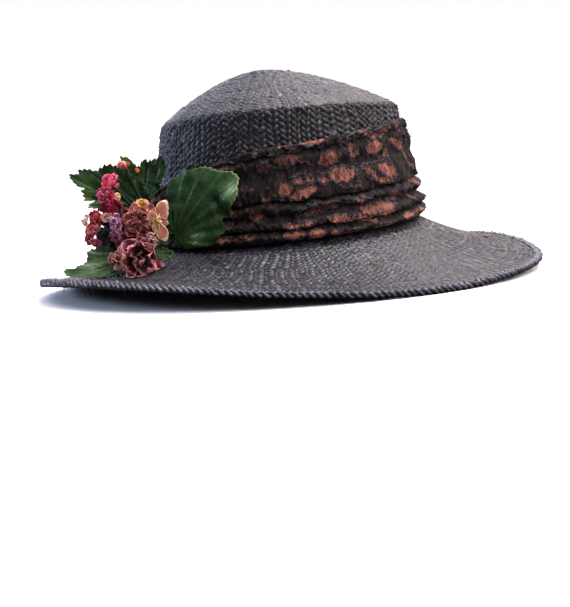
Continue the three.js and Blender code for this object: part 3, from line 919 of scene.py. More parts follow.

# %% [markdown]
# ### Lace pattern
# Where the lace is open the satin shows, in leaves, scrolls and slips, each with
# a corded outline. Every opening is a lens between two places on the band, given
# by turn and height. Where the band faces the viewer they are in a table, and
# the rest of the band is filled with more of the same, drawn with a fixed seed.

# %% Openings of the lace
# turn in degrees and height in mm where it starts and ends, width in mm, how bright the satin is painted
# there, as painted light and shade
OPENINGS = [
    (-92, 60, -84, 61, 3.5, 1), (-82, 61, -70, 63, 8, 1), (-69, 65, -60, 66, 3, 1),
    (-102, 55, -100, 55, 3, 0.9), (-59, 59, -58, 50, 4, 0.7), (-59, 49, -54, 50, 3, 0.9),
    (-53, 64, -42, 58, 3.5, 0.9), (-50, 52, -42, 54, 9, 0.9), (-41, 49, -35, 49, 7.5, 0.5),
    (-92, 49, -82, 52, 6.5, 0.3), (-74, 47, -64, 50, 8, 0.6), (-100, 45, -96, 47, 5.5, 0.3),
    (-70, 39, -58, 37, 10, 0.8), (-75, 35, -70, 35, 4.5, 0.8), (-86, 36, -76, 37, 3, 0.6),
    (-91, 31, -86, 33, 8.5, 0.7), (-86, 27, -76, 31, 6, 1), (-53, 41, -47, 33, 3.5, 0.8),
    (-48, 32, -38, 29, 4, 1), (-45, 40, -34, 33, 8.5, 0.8), (-98, 27, -94, 27, 2, 0.8),
    (-60, 29, -56, 29, 1.5, 0.7), (-32, 58, -21, 49, 6, 0.9), (-22, 47, -14, 34, 3.5, 0.8),
    (-22, 29, -4, 20, 5.5, 0.6), (-27, 17, -22, 14, 3, 0.9), (-42, 18, -32, 19, 5.5, 0.7),
    (-60, 20, -54, 20, 3.5, 0.8), (-57, 13, -40, 13, 7, 0.6), (-50, 8, -40, 9, 4, 1),
    (-81, 16, -74, 17, 4, 0.5), (-73, 19, -66, 19, 3.5, 0.3), (-90, 9, -77, 10, 3, 1),
    (-72, 11, -62, 9, 5, 1), (-62, 10, -50, 6, 3.5, 1), (-107, 6, -102, 4, 3, 1),
    (-90, 4, -81, 3, 4.5, 0.8), (-80, 2, -74, 2, 7.5, 1), (-72, 2, -67, 1, 4, 1),
    (-66, 0, -56, 0, 3.5, 0.4), (-52, 0, -42, 0, 4, 1), (-34, 3, -26, 4, 5.5, 1),
    (-26, 1, -8, 0, 5.5, 0.4), (-24, 5, -14, 5, 3, 0.8), (-103, 17, -98, 18, 5.5, 0.5),
    (-107, 35, -102, 34, 2, 0.5), (-44, 61, -34, 65, 4.5, 0.3), (-28, 70, -24, 62, 4.5, 0.4),
]
# Cords that wander over the lace, by turn and height in mm.
CORDS = [
    [(-99, 52), (-94, 47), (-90, 45), (-86, 46), (-83, 49), (-79, 47), (-75, 44)],
    [(-86, 39), (-82, 41), (-79, 41), (-76, 36)],
    [(-75, 41), (-70, 39), (-68, 42), (-63, 43), (-58, 41), (-56, 38), (-50, 32), (-46, 30)],
    [(-64, 58), (-62, 54), (-59, 47), (-55, 42), (-48, 43), (-40, 44)],
    [(-66, 20), (-62, 19), (-58, 22), (-54, 20), (-47, 18), (-38, 13)],
    [(-70, 39), (-68, 33), (-64, 29), (-60, 29), (-57, 32)],
    [(-96, 35), (-92, 28), (-88, 24), (-82, 25)],
    [(-61, 57), (-60, 61), (-56, 64), (-50, 66), (-43, 64)],
    [(-86, 19), (-82, 18), (-80, 21), (-76, 21)],
    [(-96, 51), (-94, 54), (-90, 54)],
    [(-27, 65), (-16, 57), (-12, 53)],
]
print(len(OPENINGS), "openings and", len(CORDS), "cords in the tables")

# %% Fill the rest of the lace
HEAD_RADIUS = 92.0  # turns a turn into mm along the band
BARE_FROM, BARE_TO = -4.0, 250.0  # the stretch of the band, in degrees, that the tables leave open
TRIES, MORE_CORDS = 2600, 46
CORD_STEP = 4.2  # in degrees
ONE_DEGREE = 1.6  # length of one degree along the band, in mm


def scatter_openings(draw):
    """More openings and cords for the rest of the band. The openings don't meet."""
    made, taken, cords = [], [], []
    for _ in range(TRIES):
        at = draw.uniform(BARE_FROM, BARE_TO)
        top = float(round_the_head(math.radians(at), *BAND_TOP))
        high = draw.uniform(0.015, top - 0.02)
        long, wide = draw.uniform(6, 20), draw.uniform(2, 8) * (0.6 + top * 0.5)
        lift = draw.normal(0, 0.18)
        half = math.degrees(long / 2 / HEAD_RADIUS)
        clear = all(
            math.hypot((at - t) * ONE_DEGREE, (high - h) * CROWN_TALL) > (long + size) * 0.42 + 1.5
            or abs(high - h) * CROWN_TALL > (wide + breadth) / 2 + 2.2
            for t, h, size, breadth in taken
        )
        if clear:
            rise = long / 2 * lift / CROWN_TALL
            # how bright the satin is painted in this opening, drawn at random
            bright = draw.choice([0.3, 0.55, 0.8, 1.0], p=[0.25, 0.2, 0.25, 0.3])
            low, up = (high - rise) * CROWN_TALL, (high + rise) * CROWN_TALL
            made.append((at - half, low, at + half, up, wide, bright))
            taken.append((at, high, long, wide))
    for _ in range(MORE_CORDS):
        at = draw.uniform(BARE_FROM, BARE_TO)
        top = float(round_the_head(math.radians(at), *BAND_TOP))
        high = draw.uniform(0.05, top - 0.04)
        steps = np.cumsum(draw.normal(0, 0.022, 6))
        heights = np.clip(high + steps, 0.02, top) * CROWN_TALL
        cords.append([(at + i * CORD_STEP, float(rise)) for i, rise in enumerate(heights)])
    return made, cords


more_openings, more_cords = scatter_openings(np.random.default_rng(23))
print(len(more_openings), "openings and", len(more_cords), "cords for the rest")

# %% Draw the lace on the band
FAR = 3.0  # past this distance, in mm, nothing depends on an edge or a cord
CORD_RISE, CORD_REACH = 0.7, 0.6  # how high the cords stand on the cloth and how wide they are
SATIN_DIP = 0.35  # how far the satin lies below the lace

turn_degrees = (np.degrees(turn) + 110) % 360 - 110
across = turn_degrees / 180 * math.pi * HEAD_RADIUS + 0 * band_height
upward = band_height * CROWN_TALL
upward = upward + 0.4 * waves(turn, rows, seed=31, count=16, around=90, along=5.0)
across = across + 0.5 * waves(turn, rows, seed=32, count=16, around=90, along=5.0)
satin_depth = np.full_like(across, -FAR)
satin_shine = np.zeros_like(across)
hatch = np.zeros_like(across)
for start, low, stop, high, wide, bright in OPENINGS + more_openings:
    x0, x1 = (math.radians(v) * HEAD_RADIUS for v in (start, stop))
    near = (across > min(x0, x1) - wide - FAR) & (across < max(x0, x1) + wide + FAR)
    x, y = across[near], upward[near]
    run, rise = x1 - x0, high - low
    length = math.hypot(run, rise)
    along = ((x - x0) * run + (y - low) * rise) / length ** 2
    off = np.abs((x - x0) * rise - (y - low) * run) / length
    # a lens, which is widest in its middle and thins out to both ends
    past = np.maximum(0, np.abs(along - 0.5) - 0.5) * length
    taper = np.sqrt(np.clip(1 - np.abs(2 * along - 1) ** 2.6, 0, 1))
    depth = wide / 2 * np.maximum(taper, 0.15) - np.hypot(off, past)
    deeper = depth > satin_depth[near]
    satin_shine[near] = np.where(deeper, bright, satin_shine[near])
    hatch[near] = np.where(deeper, along * length, hatch[near])
    satin_depth[near] = np.maximum(satin_depth[near], depth)
cord_far = np.full_like(across, FAR)
for cord in CORDS + more_cords:
    for (t0, y0), (t1, y1) in zip(cord, cord[1:]):
        x0, x1 = (math.radians(v) * HEAD_RADIUS for v in (t0, t1))
        near = (across > min(x0, x1) - FAR) & (across < max(x0, x1) + FAR)
        x, y = across[near], upward[near]
        run, rise = x1 - x0, y1 - y0
        along = np.clip(((x - x0) * run + (y - y0) * rise) / (run ** 2 + rise ** 2), 0, 1)
        cord_far[near] = np.minimum(cord_far[near], np.hypot(x - x0 - along * run, y - y0 - along * rise))
# a cord runs just outside the edge of each opening too
cord_far = np.minimum(cord_far, np.abs(satin_depth + 0.4) + 0.15)
band_stand += inside * (
    CORD_RISE * np.exp(-(cord_far / CORD_REACH) ** 2) - SATIN_DIP * smooth(satin_depth / 1.5)
)
print("share of the band that is open:", (satin_depth > 0).mean().round(2))

# %% Wrap the band
band = new_grid(BAND_AROUND, BAND_UP)
band.name = band.data.name = "folded_lace_band"
band_points = crown_side(turn, band_height, band_stand)
band_points[..., 2] += BAND_LIFT
steps = np.linalg.norm(np.diff(band_points, axis=1), axis=2)
cloth_up = np.concatenate([np.zeros((len(steps), 1)), np.cumsum(steps, axis=1)], axis=1)
cloth_along = turn / FULL_TURN * BAND_GIRTH + 0 * cloth_up
print("cloth of the band:", round(BAND_GIRTH), "by", cloth_up[:, -1].mean().round(1), "mm")
set_points(band, band_points.transpose(1, 0, 2).reshape(-1, 3) * MM)
for name, values in (
    ("satin_depth", satin_depth), ("satin_shine", satin_shine),
    ("hatch", hatch), ("cord_far", cord_far),
):
    mark_points(band, name, values.T.ravel())
lay_flat(band, cloth_along.T.ravel(), cloth_up.T.ravel())
close_up(band, 0.002)

# %% [markdown]
# ### Copper satin under corded lace
# Satin floats its warp over several wefts, so it gives long soft lights; here it is a dusty copper that
# turns pink where the light meets it and brown in the folds, and in some openings it is painted darker as
# shade. The lace is matte black cotton net with slightly glossy cords, whose sheen is painted grey where
# they cross the net. Both are one material, because they are one folded surface: the mesh says where it is
# open. The net's holes, about 1 mm, are drawn 1.3 mm apart so that they show.

# %% Material: satin and lace
lace_cloth = new_material("copper_satin_under_black_lace")
tree = lace_cloth.node_tree
run = add_node(tree, "TexCoord").outputs["UV"]


def lace_measure(name):
    """What the mesh says at each point: the way to an edge or a cord in mm, or a shine."""
    return add_node(tree, "Attribute", attribute_name=name).outputs["Fac"]


def ramp(value, low, high, start=0.0, stop=1.0):
    """Goes from start to stop while the value goes from low to high."""
    return add_node(tree, "MapRange", {0: value, 1: low, 2: high, 3: start, 4: stop}).outputs[0]


def noise(scale, detail=3.0, stretch=(1, 1, 1), turned=0.0):
    """Random patches of the flat cloth, or streaks if they are stretched and turned."""
    along = add_node(tree, "Mapping", {"Vector": run, "Scale": stretch, "Rotation": (0, 0, turned)})
    patches = add_node(tree, "TexNoise", {
        "Vector": along.outputs[0], "Scale": scale, "Detail": detail,
    })
    return patches.outputs["Fac"]


def layer(share, under, over):
    """Lays one colour over another, where the share is 1."""
    return add_node(tree, "Mix", {0: share, 6: under, 7: over}, data_type="RGBA").outputs[2]


def sums(kind, *values):
    """One step of arithmetic, such as ADD or MULTIPLY."""
    return add_node(tree, "Math", dict(enumerate(values)), operation=kind).outputs[0]


drift = noise(0.11)
fray = noise(0.7, 5.0)
eaten = noise(0.24, 2.0)
thread = noise(0.9, 3.0, (0.35, 2.6, 1.0), 0.9)
# where the lace is open, with frayed edges
depth = sums("ADD", lace_measure("satin_depth"), ramp(fray, 0.3, 0.7, -0.8, 0.8))
depth = sums("ADD", depth, ramp(eaten, 0.3, 0.7, -1.3, 1.2))
open_lace = ramp(depth, -0.05, 0.4)
# threads that cross an opening, and cords round it
rows_of_thread = sums("MULTIPLY_ADD", lace_measure("hatch"), 3.6, sums("MULTIPLY", fray, 5.0))
rows_of_thread = sums("SINE", rows_of_thread)
hatching = sums("MULTIPLY", ramp(rows_of_thread, 0.1, 0.7), ramp(drift, 0.46, 0.58, 0.05, 0.75))
cords = ramp(sums("ADD", lace_measure("cord_far"), ramp(fray, 0.3, 0.7, -0.25, 0.25)), 0.35, 0.65, 1.0, 0.0)
# a web of thicker threads, pulled out of shape
pull = add_node(tree, "TexNoise", {"Vector": run, "Scale": 0.2, "Detail": 3.0}).outputs["Color"]
pulled = add_node(tree, "VectorMath", {
    0: pull, 1: (9.0, 9.0, 0.0), 2: run,
}, operation="MULTIPLY_ADD")
web = add_node(tree, "TexVoronoi", {
    "Vector": pulled.outputs[0], "Scale": 0.13,
}, feature="DISTANCE_TO_EDGE").outputs["Distance"]
web = sums("MULTIPLY", ramp(web, 0.01, 0.04, 1.0, 0.0), ramp(drift, 0.42, 0.56, 0.2, 0.9))
holes = add_node(tree, "TexVoronoi", {"Vector": run, "Scale": 0.78, "Randomness": 0.8}).outputs["Distance"]
# satin: copper with darker threads and patches
copper = layer(drift, linear("#d48a7c"), linear("#a0664a"))
copper = layer(ramp(thread, 0.35, 0.62, 0.0, 0.75), copper, linear("#663a30"))
copper = layer(ramp(fray, 0.45, 0.66, 0.0, 0.6), copper, linear("#5c362a"))
# painted shade: the satin in openings that are less bright is painted darker
copper = layer(ramp(lace_measure("satin_shine"), 0.2, 1.0, 0.72, 0.0), copper, linear("#241416"))
copper = layer(hatching, copper, linear("#1c1214"))
# net: nearly black, with the satin showing through where it is thin
thin = ramp(eaten, 0.46, 0.62, 0.1, 0.85)
net = layer(sums("MULTIPLY", ramp(holes, 0.42, 0.12), thin), linear("#060506"), linear("#5e3c33"))
net = layer(ramp(eaten, 0.52, 0.62, 0.0, 0.42), net, linear("#4a2c24"))
net = layer(web, net, linear("#2c282c"))
# painted sheen: over the net the black cords are painted grey, for the sheen of their gloss
net = layer(cords, net, linear("#423e44"))
copper = layer(web, copper, linear("#1c1618"))
copper = layer(cords, copper, linear("#201c20"))
colour = layer(open_lace, net, copper)
# surface: glossier cords, raised threads
gloss = ramp(cords, 0.0, 1.0, 0.75, 0.45)
relief = sums("MULTIPLY_ADD", holes, 0.35, sums("MULTIPLY", sums("MAXIMUM", cords, web), 0.9))
bump = add_node(tree, "Bump", {"Height": relief, "Strength": 0.8, "Distance": 0.6 * MM})
bump = add_node(tree, "Bump", {
    "Height": thread, "Strength": 0.5, "Distance": 0.25 * MM, "Normal": bump.outputs[0],
})
cloth = add_node(tree, "BsdfPrincipled", {
    "Base Color": colour, "Roughness": gloss, "Normal": bump.outputs[0], "IOR": 1.46,
    "Specular IOR Level": 0.28,
})
finish_material(lace_cloth, cloth)
dress(band, lace_cloth, "lace", "lace_band")

# %% [markdown]
# ## Leaves
# The leaves are stamped from stiffened satin and pressed, so they have lobes,
# fine teeth, sunk veins and a curl. Each has its outline in a short table, in the
# leaf's own frame: x runs from its stem to its tip and y to its side, in mm. A
# grid is rolled into rings between the middle and the outline, and the veins
# and the curl are pressed in by moving its points, which keeps the mesh even.

# %% Leaf tables
# Each leaf has the place of its stem's end on the hat, the ways of its tip and its face, the middle of its
# rings, how far it is cupped and ruffled, the spacing and depth of its teeth, the spot where its rim is
# lit, the spots where highlights and glints are painted on its cloth (place and radius), its outline, and
# the ends of its veins.
LEAVES = {
    "leaf_on_crown": {
        "at": (-81, -87, 47), "tip": (0.75, -0.03, 0.65), "face": (-0.25, -0.95, 0.15),
        "middle": (28, 3), "cup": -5.0, "ruffle": 0.9, "teeth": 4.0, "tooth": 1.2,
        "bright_rim": (60, 3, 17), "painted_highlight": [(54, -7, 7), (8, -13, 5)],
        "painted_glint": [(9, -13, 3), (54, -8, 4)],
        "outline": [
            (1, 8), (8, 16), (15, 23), (22, 29), (30, 30), (38, 30), (39, 26), (42, 24), (48, 21),
            (52, 16), (55, 10), (58, 6), (61, 3), (62, -4), (58, -9), (54, -14), (46, -17), (38, -19),
            (34, -15), (32, -19), (29, -24), (21, -24), (16, -25), (10, -21), (5, -16), (-1, -13),
            (-3, -6), (-2, 0),
        ],
        "veins": [(34, 28), (46, 20), (56, 9), (57, -6), (42, -15), (26, -20), (10, -17), (14, 20)],
    },
    "leaf_back_left": {
        "at": (-104, -55, 64), "tip": (-0.87, 0.02, 0.46), "face": (0.1, -0.97, 0.2),
        "middle": (23, -3), "cup": 4.0, "ruffle": 1.2, "teeth": 4.0, "tooth": 2.4,
        "bright_rim": (36, 13, 8), "painted_highlight": [(42, 6, 7), (34, 13, 8)], "painted_glint": [],
        "outline": [
            (-2, 4), (3, 10), (9, 12), (18, 12), (24, 15), (29, 13), (36, 15), (37, 13), (34, 8),
            (40, 11), (43, 8), (46, 5), (41, 1), (49, 4), (58, 0), (53, -4), (53, -7), (47, -11),
            (42, -12), (41, -14), (37, -19), (29, -22), (26, -19), (19, -20), (10, -20), (3, -15),
            (-3, -7),
        ],
        "veins": [(54, 0), (42, 8), (34, 12), (44, -9), (30, -19), (14, -18), (12, 11)],
    },
    "leaf_back_up": {
        "at": (-103, -53, 65), "tip": (0.02, 0.22, 0.97), "face": (-0.3, -0.93, 0.22),
        "middle": (20, -1), "cup": 3.0, "ruffle": 1.2, "teeth": 4.0, "tooth": 2.6,
        "bright_rim": (39, 13, 6), "painted_highlight": [(38, 12, 5)], "painted_glint": [],
        "outline": [
            (2, 5), (9, 13), (17, 18), (26, 19), (32, 16), (39, 14), (38, 9), (34, 6), (31, 1),
            (36, -2), (34, -6), (35, -10), (35, -14), (36, -19), (32, -20), (28, -21), (22, -17),
            (14, -14), (8, -10), (2, -4),
        ],
        "veins": [(36, 12), (24, 15), (34, -3), (34, -16), (20, -15)],
    },
    "leaf_on_brim": {
        "at": (-104, -73, 33), "tip": (-0.97, 0.1, -0.16), "face": (-0.12, -0.5, 0.86),
        "middle": (28, 5), "cup": 2.0, "ruffle": 0.8, "teeth": 4.0, "tooth": 1.6,
        "bright_rim": (50, 12, 9), "painted_highlight": [(34, 2, 15), (38, 8, 6)], "painted_glint": [(38, 5, 6)],
        "outline": [
            (6, 17), (17, 22), (26, 22), (39, 19), (49, 16), (56, 13), (56, 8), (50, 8), (46, 2),
            (42, -4), (41, -11), (39, -17), (36, -16), (33, -20), (27, -18), (21, -17), (12, -10),
            (5, -4), (2, 3), (1, 10),
        ],
        "veins": [(53, 11), (43, 0), (38, -15), (22, -14), (40, 17), (24, 20)],
    },
    "leaf_under_floret": {
        "at": (-95, -88, 35.5), "tip": (0.8, -0.5, 0.35), "face": (0.1, -0.75, 0.65),
        "middle": (6.5, 0), "cup": 1.5, "ruffle": 0.6, "teeth": 2.4, "tooth": 1.0,
        "bright_rim": (12, -2, 5), "painted_highlight": [], "painted_glint": [],
        "outline": [
            (0.5, -2.5), (1, 2.5), (4.5, 5), (8.5, 4), (12, 1.5), (13.5, -1.5), (10.5, -5.5), (7, -6),
            (3.5, -5.5),
        ],
        "veins": [(12, -1), (8, 3), (8, -5)],
    },
}
LEAF_AROUND, LEAF_RINGS = 200, 22
LEAF_CLOTH = 0.4  # real thickness, in mm


def own_frame(at, face, tip=(0.1, 0.2, 1)):
    """A place with three ways: towards the tip, to the side and out of the face."""
    out = np.array(face, float) / np.linalg.norm(face)
    along = np.array(tip, float) - np.dot(tip, out) * out
    along /= np.linalg.norm(along)
    return np.array(at, float), along, np.cross(out, along), out


def closed_curve(corners, count):
    """A smooth closed curve through the corners, evenly spaced by length, and that length."""
    corners = np.array(corners, float)
    place = np.linspace(0, len(corners), 1200, endpoint=False)
    row = np.floor(place).astype(int)
    t = (place - row)[:, None]
    a, b, c, d = (corners[(row + s) % len(corners)] for s in (-1, 0, 1, 2))
    m0, m1 = (c - a) * 0.42, (d - b) * 0.42
    curve = b + t * (m0 + t * (3 * (c - b) - 2 * m0 - m1 + t * (2 * (b - c) + m0 + m1)))
    step = np.linalg.norm(np.roll(curve, -1, axis=0) - curve, axis=1)
    length = np.concatenate([[0], np.cumsum(step)])
    wanted = np.linspace(0, length[-1], count, endpoint=False)
    closed = np.vstack([curve, curve[:1]])
    return np.stack([np.interp(wanted, length, closed[:, i]) for i in (0, 1)], axis=1), length[-1]


# %% Keep the trim clear of the straw and the band
BRIM_SPOTS = brim_upper[::3, ::5].reshape(-1, 3)
SPOT_REACH = 6  # a point this near to a spot of the brim is over the brim, all in mm
BAND_FRONT, BAND_BACK = 9.6, 7.2  # how far the band's thickest folds stand off the crown
OVER_BAND = 0.6
OVER_EDGE = 6  # this far over the crown's edge the crown is no longer in the way


def crown_place(points):
    """Where points are on the crown: share of the way out, turn, height and the crown's size there."""
    height = np.clip((points[:, 2] - CROWN_BASE["level"]) / CROWN_TALL, -0.2, 1)
    long = blend(CROWN_BASE["long"], CROWN_EDGE["long"], height)
    wide = blend(CROWN_BASE["wide"], CROWN_EDGE["wide"], height)
    x = (points[:, 0] - CROWN_BASE["centre"]) / long
    y = points[:, 1] / wide
    return np.hypot(x, y), np.arctan2(y, x), height, (long + wide) / 2


def keep_clear(points, over_brim=1.2, over_straw=1.6):
    """Lifts points off the brim and moves them out of the crown and the band."""
    out, at, height, size = crown_place(points)
    band_top = round_the_head(at, *BAND_TOP)
    over_band = blend(BAND_FRONT, BAND_BACK, smooth((1 - np.cos(at)) / 2)) + OVER_BAND
    wanted = 1 + blend(over_straw, over_band, smooth((band_top - height) / 0.05 + 1)) / size
    push = np.maximum(1, wanted / np.maximum(out, 1e-6))
    inside = points[:, 2] < CROWN_EDGE["level"] + OVER_EDGE
    points[inside, 0] = CROWN_BASE["centre"] + (points[inside, 0] - CROWN_BASE["centre"]) * push[inside]
    points[inside, 1] *= push[inside]
    for start in range(0, len(points), 500):
        part = points[start:start + 500]
        away = ((part[:, None, :2] - BRIM_SPOTS[None, :, :2]) ** 2).sum(axis=2)
        nearest = np.argpartition(away, 3, axis=1)[:, :3]
        near = np.take_along_axis(away, nearest, axis=1)
        weight = 1 / (near + 0.5)
        floor_height = (BRIM_SPOTS[nearest, 2] * weight).sum(axis=1) / weight.sum(axis=1)
        over = near.min(axis=1) < SPOT_REACH ** 2
        part[over, 2] = np.maximum(part[over, 2], floor_height[over] + over_brim)
    return points


# %% Press the leaves
def toothed_outline(leaf):
    """The leaf's outline with its fine teeth."""
    rim, girth = closed_curve(leaf["outline"], LEAF_AROUND)
    teeth = round(girth / leaf["teeth"])
    saw = (np.arange(LEAF_AROUND) * teeth / LEAF_AROUND) % 1
    outward = rim - leaf["middle"]
    outward = outward / np.linalg.norm(outward, axis=1, keepdims=True)
    return rim + outward * (saw - 0.6)[:, None] * leaf["tooth"]


def leaf_relief(leaf, x, y, share, reach, vein_far):
    """How far each point stands off the flat cloth, from the cup, the ruffle, the veins and pleats."""
    middle_x, middle_y = leaf["middle"]
    around = np.arctan2(y - middle_y, x - middle_x)
    z = leaf["cup"] * (np.hypot(x - middle_x, y - middle_y) / reach) ** 2
    z += leaf["ruffle"] * share ** 3 * (np.sin(7 * around + 1) + 0.6 * np.sin(13 * around))
    relief = 1.5 * (1 - np.exp(-vein_far / 2.6)) - 0.45 * np.exp(-(vein_far / 0.55) ** 2)
    relief += 0.12 * np.sin(vein_far * 0.9 + np.hypot(x, y) * 1.5) * smooth(vein_far / 1.5)
    relief += 0.5 * np.sin(24 * np.arctan2(y, x + 4)) * smooth(np.hypot(x, y) / 14)
    z += relief * min(1, reach / 20)
    if leaf is LEAVES["leaf_on_crown"]:
        # its lower lobe is bent up, with a dent beside it and a swelling near the stem
        z += 9 * smooth((4 - y) / 18) * smooth((x - 37) / 9)
        z -= 3 * np.exp(-(((x - 39) / 4) ** 2 + ((y + 9) / 10) ** 2))
        z += 4 * np.exp(-(((x - 8) / 8) ** 2 + ((y + 15) / 6) ** 2))
    return z


def leaf_marks(leaf, x, y, share, reach, vein_far):
    """Where the rim is lit, where the veins run, and where highlights and glints are painted on the cloth.
    """
    rim_x, rim_y, rim_far = leaf["bright_rim"]
    # painted highlight: the rim is painted bright near its lit spot and only faintly lighter elsewhere
    rim_kept = 0.12 + 0.88 * smooth(2 - np.hypot(x - rim_x, y - rim_y) / rim_far)
    marks = {
        "rim": smooth(1 - (1 - share) * reach / 1.3) * rim_kept,
        "vein": np.exp(-(vein_far / 0.8) ** 2),
    }
    for kind in ("painted_highlight", "painted_glint"):
        marks[kind] = np.zeros_like(x)
        for patch_x, patch_y, far in leaf[kind]:
            near = np.exp(-((x - patch_x) ** 2 + (y - patch_y) ** 2) / far ** 2)
            marks[kind] = np.maximum(marks[kind], near)
    return marks


def pressed_leaf(name, leaf):
    """A leaf with its outline, relief, marks and thickness, in its place on the hat."""
    piece = new_grid(LEAF_AROUND, LEAF_RINGS)
    piece.name = piece.data.name = name
    rim, middle = toothed_outline(leaf), np.array(leaf["middle"], float)
    flat = get_points(piece)
    column = np.round((flat[:, 0] + 1) / 2 * LEAF_AROUND).astype(int) % LEAF_AROUND
    share = (flat[:, 1] + 1) / 2
    x, y = (middle + (rim[column] - middle) * share[:, None]).T
    reach = np.linalg.norm(rim - middle, axis=1).mean()
    vein_far = np.full(len(x), 99.0)
    for vx, vy in leaf["veins"]:
        along = np.clip((x * vx + y * vy) / (vx * vx + vy * vy), 0, 1)
        vein_far = np.minimum(vein_far, np.hypot(x - along * vx, y - along * vy) + 0.8 * (along == 0))
    z = leaf_relief(leaf, x, y, share, reach, vein_far)
    at, along, side, out = own_frame(leaf["at"], leaf["face"], leaf["tip"])
    points = at + x[:, None] * along + y[:, None] * side + z[:, None] * out
    set_points(piece, keep_clear(points) * MM)
    for label, values in leaf_marks(leaf, x, y, share, reach, vein_far).items():
        mark_points(piece, label, values)
    lay_flat(piece, x, y)
    close_up(piece, 0.01)
    middle_face = piece.data.polygons[len(piece.data.polygons) // 2]
    if middle_face.normal.dot(Vector(out)) < 0:
        flip(piece)
    thicken(piece, LEAF_CLOTH)
    return piece


# %% [markdown]
# ### Leaf satin
# Polyester satin, dyed green, stiffened and heat-pressed. It shines along its raised parts and is nearly
# black in the grooves of the veins. The cut rim is a little lighter all round, and a painted highlight
# makes it a bright yellow-green line where light catches it. Some lobes carry painted highlights where
# light catches or shines through them, so they are paler and their pleats show as light streaks, and
# painted glints are nearly white.

# %% Material: leaf satin
leaf_satin = new_material("pressed_green_satin")
tree = leaf_satin.node_tree
rim = add_node(tree, "Attribute", attribute_name="rim").outputs["Fac"]
vein = add_node(tree, "Attribute", attribute_name="vein").outputs["Fac"]
painted_highlight = add_node(tree, "Attribute", attribute_name="painted_highlight").outputs["Fac"]
run = add_node(tree, "TexCoord").outputs["UV"]
# green: two tones of dye in patches, paler in the veins
patch = add_node(tree, "TexNoise", {"Vector": run, "Scale": 0.12, "Detail": 4.0}).outputs["Fac"]
grain = add_node(tree, "TexNoise", {"Vector": run, "Scale": 1.6, "Detail": 4.0}).outputs["Fac"]
depth = add_node(tree, "MapRange", {0: patch, 1: 0.35, 2: 0.68, 3: 0.0, 4: 1.0}).outputs[0]
green = add_node(tree, "Mix", {0: depth, 6: linear("#1b3416"), 7: linear("#375d2d")}, data_type="RGBA")
green = add_node(tree, "Mix", {0: vein, 6: green.outputs[2], 7: linear("#34562a")}, data_type="RGBA")
# painted highlights: streaks along the pleats, painted pale where light catches or shines through the cloth
# and nearly white where it glints
along = add_node(tree, "Mapping", {"Vector": run, "Scale": (0.22, 2.6, 1), "Rotation": (0, 0, 0.25)})
streaks = add_node(tree, "TexNoise", {
    "Vector": along.outputs[0], "Scale": 0.6, "Detail": 4.0,
}).outputs["Fac"]
streaks = add_node(tree, "MapRange", {0: streaks, 1: 0.38, 2: 0.66, 3: 0.25, 4: 1.0}).outputs[0]
painted_glint = add_node(tree, "Attribute", attribute_name="painted_glint").outputs["Fac"]
painted_highlight = add_node(tree, "Math", {0: painted_highlight, 1: streaks}, operation="MULTIPLY").outputs[0]
glint_streaks = add_node(tree, "MapRange", {0: streaks, 1: 0.45, 2: 0.95}).outputs[0]
painted_glint = add_node(tree, "Math", {0: painted_glint, 1: glint_streaks}, operation="MULTIPLY").outputs[0]
green = add_node(tree, "Mix", {0: painted_highlight, 6: green.outputs[2], 7: linear("#6c984c")}, data_type="RGBA")
green = add_node(tree, "Mix", {0: painted_glint, 6: green.outputs[2], 7: linear("#ccdccf")}, data_type="RGBA")
# rim: faintly lighter all round, with a painted highlight where light catches it, broken by the grain of
# the cloth
torn = add_node(tree, "MapRange", {0: grain, 1: 0.4, 2: 0.62, 3: 0.0, 4: 1.0}).outputs[0]
rim_part = add_node(tree, "Math", {0: rim, 1: torn}, operation="MULTIPLY").outputs[0]
green = add_node(tree, "Mix", {0: rim_part, 6: green.outputs[2], 7: linear("#8fae50")}, data_type="RGBA")
gloss = add_node(tree, "MapRange", {0: grain, 1: 0.3, 2: 0.7, 3: 0.3, 4: 0.5}).outputs[0]
bump = add_node(tree, "Bump", {"Height": grain, "Strength": 0.3, "Distance": 0.2 * MM})
shader = add_node(tree, "BsdfPrincipled", {
    "Base Color": green.outputs[2], "Roughness": gloss, "Normal": bump.outputs[0], "IOR": 1.5,
    "Specular IOR Level": 0.3, "Sheen Weight": 0.05, "Sheen Roughness": 0.4,
})
glow = add_node(tree, "BsdfTranslucent", {"Color": green.outputs[2], "Normal": bump.outputs[0]})
thin_cloth = add_node(tree, "MixShader", {0: 0.35, 1: shader.outputs[0], 2: glow.outputs[0]})
finish_material(leaf_satin, thin_cloth)

# %% Dress the leaves and print the size that they were cut to
CUT_WIDER = 1.03  # the teeth and the rounded lobes go past the corners of the outline

for name, leaf in LEAVES.items():
    cloth = pressed_leaf(name + "_cloth", leaf)
    dress(cloth, leaf_satin, "leaf_cloth", name)
    x, y = np.array(leaf["outline"], float).T * MM
    size = (float(np.ptp(x)) * CUT_WIDER, float(np.ptp(y)) * CUT_WIDER)
    print(name, "was cut to", np.round(np.array(size) / MM), "mm")

# %% [markdown]
# ## Florets
# The florets are small crushed blossoms of cloth, each a bunch of ruffled petals
# on a wire. One petal is a small grid, curled and ruffled by moving its points.
# It is copied round each blossom's head, tighter and more upright towards the
# middle, and every copy is tilted, turned and shrunk a little at random, since
# the real ones were crushed. A floret of the CAD model is several such heads.

# %% Floret tables
PETAL_ALONG, PETAL_ACROSS = 6, 8
